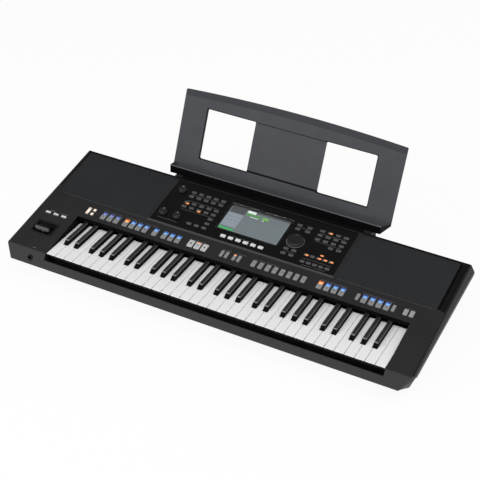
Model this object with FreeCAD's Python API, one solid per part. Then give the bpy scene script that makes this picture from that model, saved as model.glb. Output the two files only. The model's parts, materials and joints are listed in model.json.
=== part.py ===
import FreeCAD, Part
import math
import os

# Arranger keyboard with 61 keys, speakers, a button strip, a screen panel and a lift-off music rest.
# Millimetres. X runs along the keys, Y from the player to the back, Z up from the table.
# Setbacks are measured behind the nose, the foremost line of the case; heights from the table.

# Case outline, seen from the side
CASE_DEPTH = 431.0
NOSE_HEIGHT = 43.5
CHEEK_SETBACK = 18.0
CHEEK_HEIGHT = 75.0
RIM_SETBACK = 380.0
RIM_HEIGHT = 139.0
BULGE_HEIGHT = 82.5
WALL = 3.5
FACET_TOP = 3.0
FACET_NOSE = 22.0
FACET_RUN = 57.0
END_ROUND = 7.0
CHEEK_ROUND = 5.0
RIM_ROUND = 3.0
NOSE_ROUND = 1.0
BULGE_ROUND = 5.0

# Lower case: a tub inset under the upper case, tapering to the floor
SIDE_STEP = 2.0
SIDE_TAPER = 18.5
BOTTOM_SETBACK = 62.0
REAR_WALL_SETBACK = 392.0
REAR_WALL_TOP = 64.0
FOOT_HEIGHT = 8.0
FOOT_RADIUS = 13.0
FOOT_TAPER = 2.0
FOOT_INSET = 90.0
FOOT_FRONT_SETBACK = 105.0
FOOT_REAR_SETBACK = 357.0

# Keys: five octaves and the top C
OCTAVES = 5
OCTAVE_WIDTH = 165.0
LEFT_CHEEK = 110.1
RIGHT_CHEEK = 61.3
KEYS_SETBACK = 20.5
KEY_TOP = 76.0
KEY_GAP = 1.0
KEY_SHELL = 2.0
KEY_DEPTH = 18.0
WHITE_LIP = 12.0
WHITE_LIP_THICK = 3.0
KEY_VISIBLE = 147.0
BLACK_SETBACK = 50.0
BLACK_WIDTH = 11.0
BLACK_TOP_WIDTH = 9.0
BLACK_RISE = 11.0
BLACK_SLOPE = 10.0
BLACK_DEPTH = 14.0
BLACK_GAP = 0.8
ARM_GAP = 4.75
ARM_DROP = 5.0
ARM_HEIGHT = 12.0
ARM_OVERHANG = 6.0
PIVOT_SETBACK = 200.0
PIVOT_RADIUS = 2.0
PIVOT_CLEARANCE = 0.05
KEY_DIP_ANGLE = 2.9
WELL_GAP = 1.2
SLIP_HEIGHT = 61.0
LIP_CLEARANCE = 2.0

# Key chassis and what lies on it
FRAME_DROP = 33.0
FRAME_THICK = 2.0
FRAME_FRONT = 13.0
FRAME_BACK = 12.0
POST_THICK = 1.8
GUIDE_SETBACK = 38.0
GUIDE_WIDTH = 6.0
GUIDE_DEPTH = 7.0
FELT_SETBACK = 15.0
FELT_WIDTH = 10.0
CONTACT_SETBACK = 80.0
CONTACT_WIDTH = 34.0
BOARD_THICK = 1.6
DOME_RADIUS = 4.0
DOME_STRIP = 1.2
SPRING_SETBACK = 188.0
SPRING_RUN = 17.0
SPRING_WIDTH = 5.0
SPRING_THICK = 0.8
DIP_CLEARANCE = 0.6
SUPPORT_SIZE = 14.0
SUPPORT_FRONT = 72.0
SUPPORT_COUNT = 6

# Deck: places on the sloping top are given as x and the run up the slope from the cheeks' front edge
STRIP_FRONT = 145.0
STRIP_ROW = 169.0
STRIP_PITCH = 17.9
SLIM_PITCH = 12.4
CLUSTER_X = -386.0
CLUSTER_PITCH = 13.5
CLUSTER_RUN = 7.0
CLUSTER_WIDTH = 8.5
CLUSTER_LENGTH = 23.0
SMALL_WIDTH = 8.0
SMALL_LENGTH = 9.0
WIDE_WIDTH = 12.5
WIDE_LENGTH = 24.0
SLIM_WIDTH = 7.5
SLIM_LENGTH = 19.5
INTRO_X = -342.0
MAIN_X = -281.0
BREAK_X = -200.6
ENDING_X = -175.0
PLAYBACK_X = -105.0
PLAYBACK_WIDTH = 14.0
PLAYBACK_LENGTH = 22.0
TEMPO_X = -23.3
TRANSPOSE_X = 8.6
REGISTRATION_X = 58.8
REGISTRATION_WIDTH = 10.5
REGISTRATION_LENGTH = 19.5
ONE_TOUCH_X = 224.7
PAD_SELECT_X = 315.9
PAD_X = 332.1
PAD_STOP_X = 401.2
OCTAVE_X = 429.6
OCTAVE_PITCH = 14.4
OCTAVE_BUTTON_WIDTH = 10.0
OCTAVE_BUTTON_LENGTH = 18.0
BUTTON_PROUD = 2.2
BUTTON_GAP = 0.4
BUTTON_FLANGE = 1.2
FLANGE_THICK = 1.5
FLANGE_PLAY = 0.2
BUTTON_TRAVEL = 1.0
BUTTON_CORNER = 1.2
BUTTON_EDGE = 0.5
STEM_SIZE = 4.0
STEM_LENGTH = 1.4
SWITCH_HEIGHT = 2.6
SWITCH_SIZE = 6.0
SWITCH_GAP = 0.15
STRIP_BOARD_WIDTH = 36.0
BOSS_RADIUS = 3.0
PANEL_BOSS_FRONT = 272.0
PANEL_BOSS_BACK = 347.0

# Centre panel, a gloss plate let into the deck
PANEL_HALF = 239.4
PANEL_FRONT = 205.0
PANEL_LENGTH = 157.0
PANEL_SINK = 1.2
PANEL_THICK = 3.5
PANEL_GAP = 0.3
PANEL_LEDGE = 8.0
RIDGE_WIDTH = 5.0
RIDGE_HEIGHT = 2.5
LEDGE_THICK = 3.0
SCREEN_WIDTH = 153.5
SCREEN_LENGTH = 86.0
SCREEN_FRONT = 248.0
GLASS_BORDER = 6.0
GLASS_THICK = 2.0
MODULE_BORDER = 8.0
MODULE_THICK = 8.0
PANEL_BUTTON_WIDTH = 12.0
PANEL_BUTTON_LENGTH = 6.5
PANEL_PITCH = 20.0
PART_PITCH = 15.5
LEFT_X = -183.0
LEFT_ROW_A = 331.5
LEFT_ROW_B = 316.5
LEFT_ROW_C = 293.5
LEFT_ROW_D = 278.5
LEFT_ROW_E = 261.5
LEFT_ROW_F = 245.0
LEFT_ROW_G = 229.0
RIGHT_X = 158.5
RIGHT_ROW_A = 332.5
RIGHT_ROW_B = 317.5
RIGHT_ROW_C = 302.5
RIGHT_ROW_D = 286.5
DIAL_UPPER_PITCH = 26.0
DIAL_ROW_A = 330.0
DIAL_ROW_B = 316.0
DIAL_ROW_C = 246.0
DIAL_ROW_D = 229.5
PART_X = 156.0
PART_ROW_A = 245.0
PART_ROW_B = 222.0
PART_BUTTON_WIDTH = 11.0
SCREEN_BUTTON_PITCH = 19.6
SCREEN_BUTTON_WIDTH = 13.0
SCREEN_BUTTON_LENGTH = 8.0
SCREEN_BUTTON_ROW = 224.0

# Knobs on the centre panel
KNOB_HEIGHT = 8.0
KNOB_RADIUS = 9.5
KNOB_TAPER = 1.0
DIAL_RADIUS = 20.0
DIAL_HEIGHT = 7.0
DIAL_DISH_RADIUS = 5.5
DIAL_DISH_SETOFF = 11.0
DIAL_DISH_DEPTH = 1.5
SHAFT_RADIUS = 3.0
SHAFT_CLEARANCE = 0.05
KNOB_LIFT = 0.8
POT_SIZE = 13.0
POT_HEIGHT = 6.0
VOLUME_X = -214.0
VOLUME_RUN = 329.0
LIVE_X = -219.5
LIVE_PITCH = 37.5
LIVE_RUN = 240.0
DIAL_X = 114.0
DIAL_RUN = 276.0

# Speakers and grilles
GRILLE_FRONT = 206.0
GRILLE_LENGTH = 155.0
GRILLE_INNER = 248.0
GRILLE_LEFT_RIM = 17.0
GRILLE_RIGHT_RIM = 22.0
GRILLE_GROOVE = 8.0
GRILLE_THICK = 1.6
GRILLE_SINK = 0.4
GRILLE_GAP = 0.3
GRILLE_CORNER = 4.0
SPEAKER_PITCH = 88.0
WOOFER_RUN = 285.0
WOOFER_RADIUS = 60.0
WOOFER_FLANGE = 9.0
WOOFER_DEPTH = 46.0
MAGNET_RADIUS = 34.0
MAGNET_DEPTH = 18.0
FLANGE_DEPTH = 3.0
TWEETER_X = 284.0
TWEETER_RADIUS = 24.0
TWEETER_FLANGE = 8.0
TWEETER_DEPTH = 17.0
SOUND_RIM = 3.0

# Left wing: three buttons and the joystick
WING_INSET = 36.0
WING_PITCH = 22.0
WING_RUN = 125.0
WING_BUTTON_WIDTH = 13.0
WING_BUTTON_LENGTH = 7.0
JOY_INSET = 58.0
JOY_RUN = 76.5
JOY_WIDTH = 56.0
JOY_LENGTH = 40.0
JOY_DEPTH = 12.0
LEVER_RUN = 68.0
JOY_FLANGE = 2.0
JOY_FLANGE_THICK = 0.8
JOY_SHELL = 1.6
JOY_SLOT_WIDTH = 21.0
JOY_SLOT_LENGTH = 14.0
JOY_PIVOT_DEPTH = 22.0
JOY_PIN_RADIUS = 2.0
JOY_PIN_CLEARANCE = 0.05
RING_WIDTH = 22.0
RING_LENGTH = 20.0
RING_HEIGHT = 8.0
RING_SIDE = 2.5
RING_END = 3.0
EAR_GAP = 1.5
EAR_THICK = 3.5
EAR_WIDTH = 10.0
HUB_SIZE = 12.0
STICK_RADIUS = 3.0
STICK_TOP = 3.0
CAP_WIDTH = 38.0
CAP_LENGTH = 10.0
CAP_HEIGHT = 7.0
CAP_CORNER = 3.0

# Jacks: the headphone jack on the left cheek and the plate on the rear wall
JACK_BORE_RADIUS = 3.25
JACK_COLLAR_RADIUS = 7.0
JACK_COLLAR_PROUD = 1.5
JACK_BODY = 15.0
JACK_BODY_DEPTH = 22.0
JACK_BORE_DEPTH = 20.0
JACK_HOLE_GAP = 0.1
PHONES_INSET = 72.0
PHONES_SHARE = 17.0
PLATE_HALF = 190.0
PLATE_BOTTOM = 18.0
PLATE_HEIGHT = 40.0
PLATE_THICK = 2.0
PLATE_RIM = 6.0
JACK_HEIGHT = 38.0
JACK_PITCH = 30.0
JACK_X = -150.0
JACK_COUNT = 4
USB_X = 24.0
USB_PITCH = 30.0
USB_WIDTH = 12.5
USB_HEIGHT = 5.1
USB_SHELL = 1.0
USB_DEPTH = 18.0
INLET_X = 120.0
INLET_SIZE = 13.0
INLET_DEPTH = 14.0
INLET_RADIUS = 3.0
INLET_PIN_RADIUS = 1.0
POWER_X = 160.0
POWER_RADIUS = 6.5
POWER_TRAVEL = 3.0
POWER_PROUD = 4.5
POWER_GAP = 0.4
POWER_BODY = 18.0
POWER_BODY_DEPTH = 12.0

# Music rest: a plate with two windows on a ledge, its three tabs in the block behind the rim
BLOCK_HEIGHT = 134.5
BLOCK_TOP_INSET = 8.0
BLOCK_HALF = 262.0
REST_WIDTH = 583.6
REST_HEIGHT = 191.0
REST_ARCH = 9.5
REST_THICK = 6.0
REST_TILT = 20.1
REST_SETBACK = 435.4
REST_CORNER = 2.5
LEDGE_SETBACK = 397.0
LEDGE_WIDTH = 562.0
LEDGE_FLOOR = 4.0
LEDGE_LIP = 20.0
LEDGE_LIP_THICK = 3.5
LEDGE_CORNER = 2.5
LEDGE_END = 3.0
WINDOW_INSET = 66.7
WINDOW_WIDTH = 131.2
WINDOW_HEIGHT = 126.5
WINDOW_BASE = 28.7
WINDOW_CORNER = 4.0
REST_PANEL_THICK = 1.5
REST_PANEL_SINK = 1.8
REST_PANEL_GROOVE = 2.0
TAB_WIDTH = 44.0
TAB_THICK = 4.0
TAB_DEPTH = 22.0
TAB_SETBACK = 408.0
TAB_PITCH = 150.0
TAB_GAP = 0.3
TAB_COUNT = 3

# Boards in the tub and the screws that close the case
MAIN_BOARD_X = -60.0
MAIN_BOARD_WIDTH = 260.0
MAIN_BOARD_LENGTH = 110.0
AMP_BOARD_X = 215.0
AMP_BOARD_WIDTH = 130.0
BOARD_REAR_GAP = 27.0
BOARD_POST = 12.0
BOARD_POST_SIZE = 8.0
SINK_WIDTH = 90.0
SINK_DEPTH = 30.0
SINK_HEIGHT = 26.0
SINK_FINS = 6
FIN_THICK = 1.6
SCREW_RADIUS = 1.8
SCREW_HEAD_RADIUS = 4.0
SCREW_HEAD = 2.4
SCREW_LENGTH = 16.0
SCREW_GAP = 0.2
SCREW_BOSS_RADIUS = 5.0
SCREW_INSET = 45.0
SCREW_FRONT_SETBACK = 182.0
SCREW_REAR_SETBACK = 374.0
SCREW_INNER_X = 244.0

# Worked out from the sizes above
V = FreeCAD.Vector
WHITE_PITCH = OCTAVE_WIDTH / 7
SLOT_PITCH = OCTAVE_WIDTH / 12
KEYS_WIDTH = OCTAVES * OCTAVE_WIDTH + WHITE_PITCH
CASE_WIDTH = LEFT_CHEEK + KEYS_WIDTH + RIGHT_CHEEK
HALF = CASE_WIDTH / 2
TILT = math.radians(REST_TILT)
REST_BASE = BLOCK_HEIGHT + LEDGE_FLOOR
REST_REACH = REST_SETBACK + (REST_HEIGHT + REST_ARCH) * math.sin(TILT) + REST_THICK * math.cos(TILT)
NOSE_Y = -REST_REACH / 2
DECK_RISE = RIM_HEIGHT - CHEEK_HEIGHT
DECK_RUN = RIM_SETBACK - CHEEK_SETBACK
DECK_ANGLE = math.atan2(DECK_RISE, DECK_RUN)
DECK_LENGTH = math.hypot(DECK_RISE, DECK_RUN)
PART_ANGLE = math.atan2(BULGE_HEIGHT - NOSE_HEIGHT, CASE_DEPTH)
KEYS_X = LEFT_CHEEK - HALF
JOY_X = JOY_INSET - HALF
WING_X = WING_INSET - HALF
PHONES_X = PHONES_INSET - HALF
FOOT_X = HALF - FOOT_INSET
SCREW_SIDE_X = HALF - SCREW_INSET
WOOFER_X = TWEETER_X + SPEAKER_PITCH
BOARD_SETBACK = REAR_WALL_SETBACK - BOARD_REAR_GAP - MAIN_BOARD_LENGTH
WELL_LEFT = KEYS_X - WELL_GAP
WELL_RIGHT = KEYS_X + KEYS_WIDTH + WELL_GAP
KEY_DIP = math.sin(math.radians(KEY_DIP_ANGLE))
PIVOT_HEIGHT = KEY_TOP - ARM_DROP - ARM_HEIGHT / 2
FRAME_TOP = KEY_TOP - FRAME_DROP
FLOOR_TOP = FOOT_HEIGHT + WALL
PANEL_BACK = PANEL_FRONT + PANEL_LENGTH
PANEL_UNDER = -PANEL_SINK - PANEL_THICK
FAR = 700.0


def key_y(setback):
    """Y of a place behind the white keys' front edge."""
    return NOSE_Y + KEYS_SETBACK + setback


def part_height(setback):
    """Height of the line where the two cases part."""
    return NOSE_HEIGHT + setback * math.tan(PART_ANGLE)


def deck_height(setback):
    """Height of the deck above a place behind the nose."""
    return CHEEK_HEIGHT + (setback - CHEEK_SETBACK) * math.tan(DECK_ANGLE)


def box(x0, x1, y0, y1, z0, z1):
    return Part.makeBox(x1 - x0, y1 - y0, z1 - z0, V(x0, y0, z0))


def rounded_face(points, radii, lift):
    """A flat face through the points, each corner rounded to its radius; lift places the points in space."""
    corners = []
    count = len(points)
    for i in range(count):
        corner = V(points[i][0], points[i][1], 0)
        before = V(*points[i - 1], 0) - corner
        after = V(*points[(i + 1) % count], 0) - corner
        before.normalize()
        after.normalize()
        half = before.getAngle(after) / 2
        reach = radii[i] / math.tan(half)
        middle = before + after
        if radii[i]:
            middle.normalize()
        inside = middle * (radii[i] / math.sin(half) - radii[i]) if radii[i] else V(0, 0, 0)
        corners.append((corner + before * reach, corner + inside, corner + after * reach))
    edges = []
    for i in range(count):
        start, middle, end = [lift(p.x, p.y) for p in corners[i]]
        following = lift(corners[(i + 1) % count][0].x, corners[(i + 1) % count][0].y)
        if radii[i]:
            edges.append(Part.Arc(start, middle, end).toShape())
        edges.append(Part.LineSegment(end, following).toShape())
    return Part.Face(Part.Wire(edges))


def side_prism(points, radii, x0, x1):
    """A prism along X from an outline of setbacks and heights."""
    face = rounded_face(points, radii, lambda a, b: V(x0, NOSE_Y + a, b))
    return face.extrude(V(x1 - x0, 0, 0))


def rect(x0, x1, y0, y1):
    return [(x0, y0), (x1, y0), (x1, y1), (x0, y1)]


def rounded_slab(x0, x1, y0, y1, z0, z1, radius):
    face = rounded_face(rect(x0, x1, y0, y1), [radius] * 4, lambda a, b: V(a, b, z0))
    return face.extrude(V(0, 0, z1 - z0))


def on_deck(shape):
    """Carries a shape from x, run up the slope and height over the deck to its place."""
    placed = shape.copy()
    placed.rotate(V(0, 0, 0), V(1, 0, 0), math.degrees(DECK_ANGLE))
    placed.translate(V(0, NOSE_Y + CHEEK_SETBACK, CHEEK_HEIGHT))
    return placed


def on_rest(shape):
    """Carries a shape from x, height up the rest's face and distance before it to its place."""
    placed = shape.copy()
    placed.rotate(V(0, 0, 0), V(1, 0, 0), 90 - REST_TILT)
    placed.translate(V(0, NOSE_Y + REST_SETBACK, REST_BASE))
    return placed


def fuse(shapes):
    return shapes[0].multiFuse(shapes[1:]).removeSplitter()


def cylinder(radius, start, end):
    return Part.makeCylinder(radius, (end - start).Length, start, end - start)


def turned(profile, x, y):
    """A solid turned about the vertical through x, y from a profile of radii and heights."""
    wire = Part.makePolygon([V(r, 0, z) for r, z in profile + profile[:1]])
    solid = Part.Face(wire).revolve(V(0, 0, 0), V(0, 0, 1), 360)
    solid.translate(V(x, y, 0))
    return solid


def save(name, *shapes):
    shape = shapes[0] if len(shapes) == 1 else Part.Compound(list(shapes))
    shape.exportStep("parts/" + name + ".step")
    print(name, len(shape.Solids), shape.isValid(), round(shape.Volume / 1000, 1))


# Buttons: where each group stands on the deck, as x, run, width and length


def row(first_x, count, pitch, run, width, length):
    return [(first_x + i * pitch, run, width, length) for i in range(count)]


WIDE = (WIDE_WIDTH, WIDE_LENGTH)
SLIM = (SLIM_WIDTH, SLIM_LENGTH)

cluster = row(CLUSTER_X, 1, 0, STRIP_ROW, CLUSTER_WIDTH, CLUSTER_LENGTH)
cluster += row(CLUSTER_X + CLUSTER_PITCH, 1, 0, STRIP_ROW - CLUSTER_RUN, SMALL_WIDTH, SMALL_LENGTH)
cluster += row(CLUSTER_X + CLUSTER_PITCH, 1, 0, STRIP_ROW + CLUSTER_RUN, SMALL_WIDTH, SMALL_LENGTH)
style_runs = [
    row(INTRO_X, 3, STRIP_PITCH, STRIP_ROW, *WIDE),
    row(MAIN_X, 4, STRIP_PITCH, STRIP_ROW, *WIDE),
    row(BREAK_X, 1, STRIP_PITCH, STRIP_ROW, *WIDE),
    row(ENDING_X, 3, STRIP_PITCH, STRIP_ROW, *WIDE),
]
transport_runs = [
    row(PLAYBACK_X, 3, STRIP_PITCH, STRIP_ROW, PLAYBACK_WIDTH, PLAYBACK_LENGTH),
    row(TEMPO_X, 2, SLIM_PITCH, STRIP_ROW, *SLIM),
    row(TRANSPOSE_X, 2, SLIM_PITCH, STRIP_ROW, *SLIM),
]
registration_runs = [row(REGISTRATION_X, 8, STRIP_PITCH, STRIP_ROW, REGISTRATION_WIDTH, REGISTRATION_LENGTH)]
pad_runs = [
    row(ONE_TOUCH_X, 4, STRIP_PITCH, STRIP_ROW, *WIDE),
    row(PAD_SELECT_X, 1, STRIP_PITCH, STRIP_ROW, *SLIM),
    row(PAD_X, 4, STRIP_PITCH, STRIP_ROW, *WIDE),
    row(PAD_STOP_X, 1, STRIP_PITCH, STRIP_ROW, *SLIM),
]
octave_runs = [row(OCTAVE_X, 2, OCTAVE_PITCH, STRIP_ROW, OCTAVE_BUTTON_WIDTH, OCTAVE_BUTTON_LENGTH)]
strip_runs = [cluster] + style_runs + transport_runs + registration_runs + pad_runs + octave_runs

PANEL_SIZE = (PANEL_BUTTON_WIDTH, PANEL_BUTTON_LENGTH)
left_panel = []
for run in (LEFT_ROW_A, LEFT_ROW_B, LEFT_ROW_C, LEFT_ROW_D):
    left_panel += row(LEFT_X, 5, PANEL_PITCH, run, *PANEL_SIZE)
for run in (LEFT_ROW_E, LEFT_ROW_F):
    left_panel += row(LEFT_X + 4 * PANEL_PITCH, 1, 0, run, *PANEL_SIZE)
left_panel += row(LEFT_X + 2 * PANEL_PITCH, 3, PANEL_PITCH, LEFT_ROW_G, *PANEL_SIZE)
right_panel = []
for run in (RIGHT_ROW_A, RIGHT_ROW_B, RIGHT_ROW_C):
    right_panel += row(RIGHT_X, 4, PANEL_PITCH, run, *PANEL_SIZE)
right_panel += row(RIGHT_X + 2 * PANEL_PITCH, 2, PANEL_PITCH, RIGHT_ROW_D, *PANEL_SIZE)
for run in (DIAL_ROW_A, DIAL_ROW_B):
    right_panel += row(DIAL_X - DIAL_UPPER_PITCH / 2, 2, DIAL_UPPER_PITCH, run, *PANEL_SIZE)
for run in (DIAL_ROW_C, DIAL_ROW_D):
    right_panel += row(DIAL_X - PANEL_PITCH / 2, 2, PANEL_PITCH, run, *PANEL_SIZE)
for run in (PART_ROW_A, PART_ROW_B):
    right_panel += row(PART_X, 5, PART_PITCH, run, PART_BUTTON_WIDTH, PANEL_BUTTON_LENGTH)
screen_row = row(
    -2.5 * SCREEN_BUTTON_PITCH, 6, SCREEN_BUTTON_PITCH, SCREEN_BUTTON_ROW, SCREEN_BUTTON_WIDTH, SCREEN_BUTTON_LENGTH
)
wing_row = row(WING_X, 3, WING_PITCH, WING_RUN, WING_BUTTON_WIDTH, WING_BUTTON_LENGTH)


def flat(runs):
    return [place for run in runs for place in run]


def button(width, length, top, under):
    """A cap with a stop flange and a stem, standing at x 0 and run 0; under is the skin's lower face."""
    flange_top = under - FLANGE_PLAY
    flange_low = flange_top - FLANGE_THICK
    cap = rounded_slab(-width / 2, width / 2, -length / 2, length / 2, flange_low, top, BUTTON_CORNER)
    rim = [e for e in cap.Edges if min(v.Z for v in e.Vertexes) > top - BUTTON_EDGE]
    cap = cap.makeFillet(BUTTON_EDGE, rim)
    across = width / 2 + BUTTON_FLANGE
    along = length / 2 + BUTTON_FLANGE
    flange = box(-across, across, -along, along, flange_low, flange_top)
    stem = STEM_SIZE / 2
    foot = box(-stem, stem, -stem, stem, flange_low - STEM_LENGTH, flange_low)
    return fuse([cap, flange, foot])


def button_group(places, level, under):
    """Copies of the buttons at their places, with their tops proud of the skin's upper face."""
    made = {}
    group = []
    for x, run, width, length in places:
        if (width, length) not in made:
            made[(width, length)] = button(width, length, level + BUTTON_PROUD, under)
        copy = made[(width, length)].copy()
        copy.translate(V(x, run, 0))
        group.append(on_deck(copy))
    return group


def button_holes(places, low, high):
    """Openings in the skin, each a clearance wider than its button."""
    holes = []
    for x, run, width, length in places:
        across = width / 2 + BUTTON_GAP
        along = length / 2 + BUTTON_GAP
        corner = BUTTON_CORNER + BUTTON_GAP
        hole = rounded_slab(x - across, x + across, run - along, run + along, low, high, corner)
        holes.append(on_deck(hole))
    return holes


def switch_level(under):
    """Height of a switch board's top face below the skin whose lower face is at under."""
    stem_end = under - FLANGE_PLAY - FLANGE_THICK - STEM_LENGTH
    return stem_end - BUTTON_TRAVEL - SWITCH_GAP - SWITCH_HEIGHT


def switches(places, board_top):
    """The tact switches on a board, one under each button's stem."""
    made = []
    size = SWITCH_SIZE / 2
    for x, run, width, length in places:
        top = board_top + SWITCH_HEIGHT
        made.append(box(x - size, x + size, run - size, run + size, board_top - BOARD_THICK, top))
    return made


STRIP_BOARD_TOP = switch_level(-WALL)
PANEL_BOARD_TOP = switch_level(PANEL_UNDER)


# Upper case


def case_profile():
    points = [(0, NOSE_HEIGHT), (CHEEK_SETBACK, CHEEK_HEIGHT), (RIM_SETBACK, RIM_HEIGHT), (CASE_DEPTH, BULGE_HEIGHT)]
    return points, [NOSE_ROUND, CHEEK_ROUND, RIM_ROUND, BULGE_ROUND]


def block_profile():
    """The block behind the rim that carries the music rest."""
    inside = RIM_SETBACK - BLOCK_TOP_INSET
    points = [(inside, BULGE_HEIGHT), (inside, BLOCK_HEIGHT)]
    points += [(CASE_DEPTH - BLOCK_TOP_INSET, BLOCK_HEIGHT), (CASE_DEPTH, BULGE_HEIGHT)]
    return points, [0, 0, RIM_ROUND, BULGE_ROUND]


def end_facets(inset):
    """Blocks outside the flat corners between the case's ends and its front; inset moves them inwards."""
    blocks = []
    for side in (-1, 1):
        top = V(side * (HALF - FACET_TOP), NOSE_Y + CHEEK_SETBACK, CHEEK_HEIGHT)
        nose = V(side * (HALF - FACET_NOSE), NOSE_Y, NOSE_HEIGHT)
        end = V(side * HALF, NOSE_Y + FACET_RUN, part_height(FACET_RUN))
        out = (nose - top).cross(end - top) * side
        out.normalize()
        block = Part.makeBox(2 * FAR, 2 * FAR, FAR, V(-FAR, -FAR, 0))
        block.Placement = FreeCAD.Placement(top - out * inset, FreeCAD.Rotation(V(0, 0, 1), out))
        blocks.append(block)
    return blocks


def deck_trim():
    """A long block under the deck with rounded upper edges, to round the case's ends."""
    points = [(-HALF, -FAR), (HALF, -FAR), (HALF, 0), (-HALF, 0)]
    face = rounded_face(points, [0, 0, END_ROUND, END_ROUND], lambda a, b: V(a, -FAR, b))
    return on_deck(face.extrude(V(0, 2 * FAR, 0)))


def inner_prism(points, radii, half):
    """The room inside an outline: one wall smaller all round and open below."""
    low = -FAR / 10
    deep = [(points[0][0], low)] + points + [(points[-1][0], low)]
    face = rounded_face(deep, [0] * len(deep), lambda a, b: V(0, NOSE_Y + a, b)).makeOffset2D(-WALL)
    room = face.extrude(V(2 * (half - WALL), 0, 0))
    room.translate(V(WALL - half, 0, 0))
    return room


def tab_places():
    first = -TAB_PITCH * (TAB_COUNT - 1) / 2
    return [first + i * TAB_PITCH for i in range(TAB_COUNT)]


def strip_boss_places():
    """Midway between each pair of neighbouring button runs on the strip."""
    places = []
    for run, following in zip(strip_runs, strip_runs[1:]):
        right = max(x + width / 2 for x, s, width, length in run)
        left = min(x - width / 2 for x, s, width, length in following)
        if left - right > 2 * (BOSS_RADIUS + BUTTON_FLANGE) + 2:
            places.append((left + right) / 2)
    return places


def screw_places():
    places = []
    for side in (-1, 1):
        places.append((side * SCREW_SIDE_X, SCREW_FRONT_SETBACK))
        places.append((side * SCREW_SIDE_X, SCREW_REAR_SETBACK))
        places.append((side * SCREW_INNER_X, SCREW_REAR_SETBACK))
    return places


def grille_ends():
    """Left and right end of each grille's pocket."""
    left = (GRILLE_LEFT_RIM - HALF, -GRILLE_INNER)
    right = (GRILLE_INNER, HALF - GRILLE_RIGHT_RIM)
    return [left, right]


def phones_frame():
    """Middle of the left cheek's front face, and the way out of it."""
    along = V(0, CHEEK_SETBACK, CHEEK_HEIGHT - NOSE_HEIGHT)
    along.normalize()
    foot = V(PHONES_X, NOSE_Y, NOSE_HEIGHT) + along * PHONES_SHARE
    return foot, V(0, -along.z, along.y)


def upper_shell():
    points, radii = case_profile()
    block_points, block_radii = block_profile()
    outer = side_prism(points, radii, -HALF, HALF)
    outer = outer.common(deck_trim()).cut(end_facets(0))
    block = side_prism(block_points, block_radii, -BLOCK_HALF, BLOCK_HALF)
    outer = outer.fuse(block)
    room = inner_prism(points, radii, HALF).cut(end_facets(WALL))
    block_room = inner_prism(block_points, block_radii, BLOCK_HALF)
    lip_y = NOSE_Y + CHEEK_SETBACK + STRIP_FRONT * math.cos(DECK_ANGLE)
    behind = box(-FAR, FAR, lip_y + WALL, NOSE_Y + FAR, -FAR, FAR)
    left = box(-FAR, WELL_LEFT - WALL, NOSE_Y - FAR, NOSE_Y + FAR, -FAR, FAR)
    right = box(WELL_RIGHT + WALL, FAR, NOSE_Y - FAR, NOSE_Y + FAR, -FAR, FAR)
    lip_low = KEY_TOP + BLACK_RISE + LIP_CLEARANCE
    under_keys = box(WELL_LEFT, WELL_RIGHT, NOSE_Y, lip_y + 2 * WALL, -FAR, lip_low)
    well = box(WELL_LEFT, WELL_RIGHT, NOSE_Y - 1, lip_y, SLIP_HEIGHT, FAR)
    shell = outer.cut([room.common(part) for part in (behind, left, right, under_keys)] + [block_room])
    return shell.cut(well)


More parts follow.
